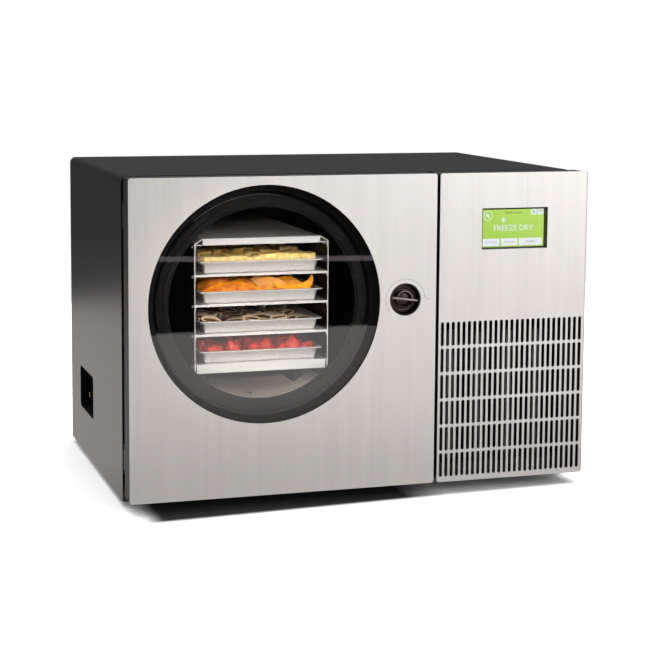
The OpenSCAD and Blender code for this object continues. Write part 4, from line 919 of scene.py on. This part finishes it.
def fillTray(name, foodName, food, maker, materials, seed):
    # pieces of food laid over the tray's floor
    low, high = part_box(name)
    dice = random.Random(seed)
    b = bmesh.new()
    base = Vector(((low.x + high.x) / 2, low.y, low.z))

    def edge(z):
        # how far in from the rim's outline the wall stands at this height
        down = min(max((high.z - z) / (high.z - low.z), 0), 1)
        return trayForm["rim"] + trayForm["sheet"] + trayForm["slope"] * down + trayForm["fillet"] * down ** 6

    for x, y, z, tilt, lean, turn in spots(foods[food], dice):
        place = (Matrix.Translation(base + Vector((x, y, z)) * mm) @ Matrix.Rotation(turn, 4, "Z")
                 @ Matrix.Rotation(tilt, 4, "X") @ Matrix.Rotation(lean, 4, "Y"))
        first = len(b.verts)
        maker(b, foods[food], dice, place)
        b.verts.ensure_lookup_table()
        laid = b.verts[first:]
        # moved inwards until it lies between the tray's walls and above its floor
        rise = max(low.z + 1.5 * mm - min(v.co.z for v in laid), 0)
        for v in laid:
            v.co.z += rise
        push = Vector([max(low[i] + edge(v.co.z) - v.co[i] for v in laid) for i in (0, 1)] + [0])
        back = Vector([min(high[i] - edge(v.co.z) - v.co[i] for v in laid) for i in (0, 1)] + [0])
        for v in laid:
            v.co += Vector([max(a, 0) + min(c, 0) for a, c in zip(push, back)])
    build(foodName, b, "cabinet", materials, 40)


paleFruit = flesh("fruitCutPale", "d2a94a", "f0dc94", 7, 0.5, 0.4)
peachFlesh = flesh("peachCut", "f0920e", "ffb92e", 9, 0.4, 0.25)
peachSkin = flesh("peachSkin", "c75a2c", "f5a52a", 14, 0.5, 0.15)
peachHeart = flesh("peachStoneHollow", "a83a1e", "d9722a", 4, 0.5, 0.5)
mushroomFlesh = flesh("mushroomCut", "dcc3a4", "f7e9d4", 8, 0.6, 0.2)
mushroomSkin = flesh("mushroomSkin", "3a2216", "75502f", 5, 0.6, 0.2)
berryRed = flesh("strawberrySkin", "a01a14", "c9362a", 8, 0.35, 0.5, seeds="e3b45a")

fillTray("tray_4", "foodPaleFruit", "paleFruit", chunk, [paleFruit], 11)
fillTray("tray_3", "foodPeach", "peach", crescent, [peachFlesh, peachSkin, peachHeart], 5)
fillTray("tray_2", "foodMushroom", "mushroom", mushroom, [mushroomFlesh, mushroomSkin], 23)
fillTray("tray_1", "foodStrawberry", "strawberry", strawberry, [berryRed], 8)
print("stage: food")


# turning knob: the profile gives radius and depth behind the front in mm, from its middle outwards
knobForm = {
    "profile": ((0.4, 6.2), (5, 6.4), (8.6, 7.2), (10.6, 8.2), (11.2, 7.0), (11.6, 3.0), (12.0, 2.3),
                (12.7, 2.0), (13.4, 2.3), (13.8, 3.0), (13.9, 11.4), (15.8, 11.6), (16.0, 10.3), (16.5, 9.9),
                (22.0, 9.9), (22.6, 10.4), (22.7, 19.4), (9.0, 19.5), (0.4, 19.5)),
    # where the painted highlight lies on the knob: radii, depth and lowest height
    "highlightFrom": 11.3 * mm,
    "highlightTo": 13.6 * mm,
    "highlightDepth": 4 * mm,
    "highlightAbove": -1 * mm,
    "gripHalf": 21.9,
    "gripThick": 3.6,
    "gripFront": 1.6,
    "gripBack": 12.0,
    "gripCorner": 1.4,
    "gripEnds": ((-1, 0.8), (-0.98, 0.3), (-0.95, 0), (0.95, 0), (0.98, 0.3), (1, 0.8)),
    "gripTurn": -8.0,
}


def turnKnob():
    f = knobForm
    centre = Vector((knobCentre.x, cadBox[0].y, knobCentre.z))
    b = bmesh.new()
    rings = [[(x, depth * mm, z) for x, z in circlePoints(r * mm, 72)] for r, depth in f["profile"]]
    loft(b, rings, Matrix.Translation(centre))
    # painted highlight: the upper half of the raised rim and the cross grip take the paler bronze, where
    # light from above catches them
    for face in b.faces:
        out = face.calc_center_median() - centre
        inRing = f["highlightFrom"] < math.hypot(out.x, out.z) < f["highlightTo"] and out.y < f["highlightDepth"]
        face.material_index = int(inRing and out.z > f["highlightAbove"])
    plain = len(b.faces)
    half = (f["gripBack"] - f["gripFront"]) / 2
    rings = []
    for x, shrink in f["gripEnds"]:
        flat = ringPoints((half - shrink) * mm, (f["gripThick"] / 2 - shrink) * mm,
                          (f["gripCorner"] - shrink) * mm, 4)
        rings.append([(x * f["gripHalf"] * mm, (f["gripFront"] + half) * mm + y, z) for y, z in flat])
    loft(b, rings, Matrix.Translation(centre) @ Matrix.Rotation(math.radians(-f["gripTurn"]), 4, "Y"))
    b.faces.ensure_lookup_table()
    for face in b.faces[plain:]:
        face.material_index = 1
    knob = build("turnKnob", b, "knob", [bronze, highlightBronze], 40)
    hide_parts("turn_knob")


turnKnob()


# screws that hold the window ring: the profile gives a share of the head's radius and a depth in mm
ringScrews = {
    "count": 8,
    "radius": 176.5 * mm,
    "head": 2.4 * mm,
    "sunk": 0.06 * mm,
    "profile": ((1, 1.2), (1, 0.5), (0.8, 0.1), (0.45, 0.0), (0.3, 0.5)),
}


def windowScrews():
    # small domed heads, dished in the middle, just behind the acrylic
    f = ringScrews
    low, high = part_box("window_disc")
    centre = (low + high) / 2
    b = bmesh.new()
    for i in range(f["count"]):
        a = 2 * math.pi * i / f["count"]
        place = Matrix.Translation((centre.x + f["radius"] * math.cos(a), high.y - f["sunk"],
                                    centre.z + f["radius"] * math.sin(a)))
        rings = [[(x, y * mm, z) for x, z in circlePoints(f["head"] * share, 20)]
                 for share, y in f["profile"]]
        loft(b, rings, place)
    build("windowScrews", b, "door", [darkZinc], 30)


windowScrews()


# screen: the lit face's margins inside the glass; buttons and symbols by their left, low, right and high
# edges in shares of the face's width and height; words by their middle and the letters' height in mm
screenForm = {
    "left": 7.9 * mm,
    "right": -0.3 * mm,
    "low": 1.6 * mm,
    "high": 4.1 * mm,
    "edge": 3.0 * mm,
    "behindGlass": 0.4 * mm,
    "frame": 5.6 * mm,
    "board": 1.6 * mm,
    "boardInset": 5 * mm,
    "boardParts": ((11, 11, 37, 33, 2), (63, 23, 75, 35, 1.4), (91, 9, 113, 17, 4)),
    "buttons": ((0.006, 0.03, 0.277, 0.225), (0.303, 0.03, 0.571, 0.225), (0.597, 0.03, 0.975, 0.225),
                (0.79, 0.845, 0.878, 0.995), (0.899, 0.845, 0.983, 0.995)),
    "symbols": (((0.815, 0.885, 0.853, 0.96), 1.8, "blue"), ((0.92, 0.93, 0.962, 0.955), 0.2, "grey")),
    "symbolLift": 0.22 * mm,
    "markLift": 0.16 * mm,
    "markThick": 0.05 * mm,
    "ringAt": (0.084, 0.84),
    "ringRadius": 8.2 * mm,
    "ringLine": 1.9 * mm,
    "leaf": 5 * mm,
    "leafTurn": -35,
    "crystalAt": (0.34, 0.72),
    "crystalArm": (0.6 * mm, 5.2 * mm, 0.5 * mm),
    "wordLift": 0.24 * mm,
    "words": (("FREEZE DRY", 0.5, 0.5, 12.6, "white"), ("Ready to start", 0.5, 0.915, 5.2, "deepGreen"),
              ("SETTINGS", 0.14, 0.125, 4.4, "grey"), ("OPTIONS", 0.437, 0.125, 4.4, "grey"),
              ("START", 0.786, 0.125, 6.0, "grey")),
}


def litCrystal(name, colour, strength):
    # lit liquid crystal behind glass: even light, black when off
    return startMaterial(name, {"Base Color": toLinear("050505"), "Roughness": 0.3,
                                "Emission Color": toLinear(colour), "Emission Strength": strength})[0]


def leafGreen():
    # lit panel: leaf green, paler and yellower towards the upper right
    material, tree, skin = startMaterial("liquidCrystalGreen", {
        "Roughness": 0.3, "Base Color": toLinear("060804"), "Emission Strength": 1.0})
    parts = add(tree, "SeparateXYZ", links={0: add(tree, "TexCoord").outputs["Generated"]})
    along = add(tree, "Math", {"operation": "ADD"}, {0: parts.outputs["X"], 1: parts.outputs["Z"]})
    half = add(tree, "Math", {"operation": "MULTIPLY", 1: 0.5}, {0: along})
    ramp = add(tree, "ValToRGB", links={"Fac": half})
    ramp.color_ramp.elements[0].color = toLinear("a2d044")
    ramp.color_ramp.elements[1].color = toLinear("c2e86e")
    feed(tree, skin, {"Emission Color": ramp})
    return material


inks = {
    "leaf": leafGreen(),
    "white": litCrystal("liquidCrystalWhite", "eef2fb", 1.0),
    "grey": litCrystal("liquidCrystalGrey", "9aa79c", 0.8),
    "frame": blackAbs,
    "blue": litCrystal("liquidCrystalBlue", "9fc3d6", 0.9),
    "board": solderMask,
    "paleGreen": litCrystal("liquidCrystalPaleGreen", "d3edb4", 0.95),
    "deepGreen": litCrystal("liquidCrystalDeepGreen", "41700f", 0.8),
}
inkSlot = {name: i for i, name in enumerate(inks)}


def screenPanel():
    f = screenForm
    glassLow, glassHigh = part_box("touch_glass")
    shellLow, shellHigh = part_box("display")
    x0, x1 = glassLow.x + f["edge"] + f["left"], glassHigh.x - f["edge"] - f["right"]
    z0, z1 = glassLow.z + f["edge"] + f["low"], glassHigh.z - f["edge"] - f["high"]
    wide, tall = x1 - x0, z1 - z0
    front = glassHigh.y + f["behindGlass"]
    b = bmesh.new()

    def plate(left, low, right, high, y, thick, radius, ink):
        flat = ringPoints((right - left) / 2, (high - low) / 2, radius, 4)
        place = Matrix.Translation(((left + right) / 2, y, (low + high) / 2))
        slot = inkSlot[ink]
        loft(b, [[(x, depth, z) for x, z in flat] for depth in (0, thick)], place, [slot] * len(flat),
             (slot, slot))

    def cut(outline, across, up, turn, ink):
        # a thin flat shape standing at a share of the face's width and height
        place = Matrix.Translation((x0 + across * wide, front - f["markLift"], z0 + up * tall))
        slot = inkSlot[ink]
        loft(b, [[(x, y, z) for x, z in outline] for y in (0, f["markThick"])],
             place @ Matrix.Rotation(math.radians(turn), 4, "Y"), [slot] * len(outline), (slot, slot))

    # metal frame, circuit board and its parts behind the lit face
    inset = f["boardInset"]
    plate(shellLow.x, shellLow.z, shellHigh.x, shellHigh.z, front, f["frame"], 1.5 * mm, "frame")
    plate(shellLow.x + inset, shellLow.z + inset, shellHigh.x - inset, shellHigh.z - inset,
          front + f["frame"], f["board"], 1 * mm, "board")
    for left, low, right, high, thick in f["boardParts"]:
        plate(shellLow.x + left * mm, shellLow.z + low * mm, shellLow.x + right * mm, shellLow.z + high * mm,
              front + f["frame"] + f["board"], thick * mm, 0.6 * mm, "frame")
    plate(x0, z0, x1, z1, front - 0.1 * mm, 0.1 * mm, 0.2 * mm, "leaf")
    # three buttons, two corner buttons with their symbols
    marks = [(edges, 0.4, "white", f["markLift"]) for edges in f["buttons"]]
    marks += [(*symbol, f["symbolLift"]) for symbol in f["symbols"]]
    for (left, low, right, high), radius, ink, lift in marks:
        plate(x0 + left * wide, z0 + low * tall, x0 + right * wide, z0 + high * tall, front - lift,
              f["markThick"], radius * mm, ink)
    # round symbol: a ring with a leaf in it
    across, up = f["ringAt"]
    outer, inner = circlePoints(f["ringRadius"], 40), circlePoints(f["ringRadius"] - f["ringLine"], 40)
    thick = f["markThick"]
    rings = [[(x, y, z) for x, z in loop]
             for loop, y in ((inner, 0), (outer, 0), (outer, thick), (inner, thick), (inner, 0))]
    loft(b, rings, Matrix.Translation((x0 + across * wide, front - f["markLift"], z0 + up * tall)),
         [inkSlot["paleGreen"]] * 40, (None, None))
    leaf = [(f["leaf"] * (1 - abs(t)) ** 0.6 * 0.42 * side, f["leaf"] * t) for side, ts in
            ((1, (-1, -0.6, -0.2, 0.2, 0.6)), (-1, (1, 0.6, 0.2, -0.2, -0.6))) for t in ts]
    cut(leaf, across, up, f["leafTurn"], "white")
    # six-armed ice crystal over the title
    for i in range(3):
        cut(ringPoints(*f["crystalArm"], 3), *f["crystalAt"], 60 * i, "white")
    # words, from the plain built-in letters
    for text, across, up, high, ink in f["words"]:
        curve = bpy.data.curves.new("words", "FONT")
        curve.body = text
        curve.align_x = curve.align_y = "CENTER"
        curve.size = high * mm
        curve.resolution_u = 3
        holder = bpy.data.objects.new("words", curve)
        scene.collection.objects.link(holder)
        bpy.context.view_layer.update()
        letters = bpy.data.meshes.new_from_object(holder.evaluated_get(bpy.context.evaluated_depsgraph_get()))
        bpy.data.objects.remove(holder)
        place = (Matrix.Translation((x0 + across * wide, front - f["wordLift"], z0 + up * tall))
                 @ Matrix.Rotation(math.radians(90), 4, "X"))
        before = len(b.faces)
        letters.transform(place)
        b.from_mesh(letters)
        b.faces.ensure_lookup_table()
        for face in b.faces[before:]:
            face.material_index = inkSlot[ink]
        bpy.data.meshes.remove(letters)
    panel = build("screenPanel", b, "cabinet", list(inks.values()), 30)
    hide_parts("display")


screenPanel()
print("stage: knob, screws and screen")
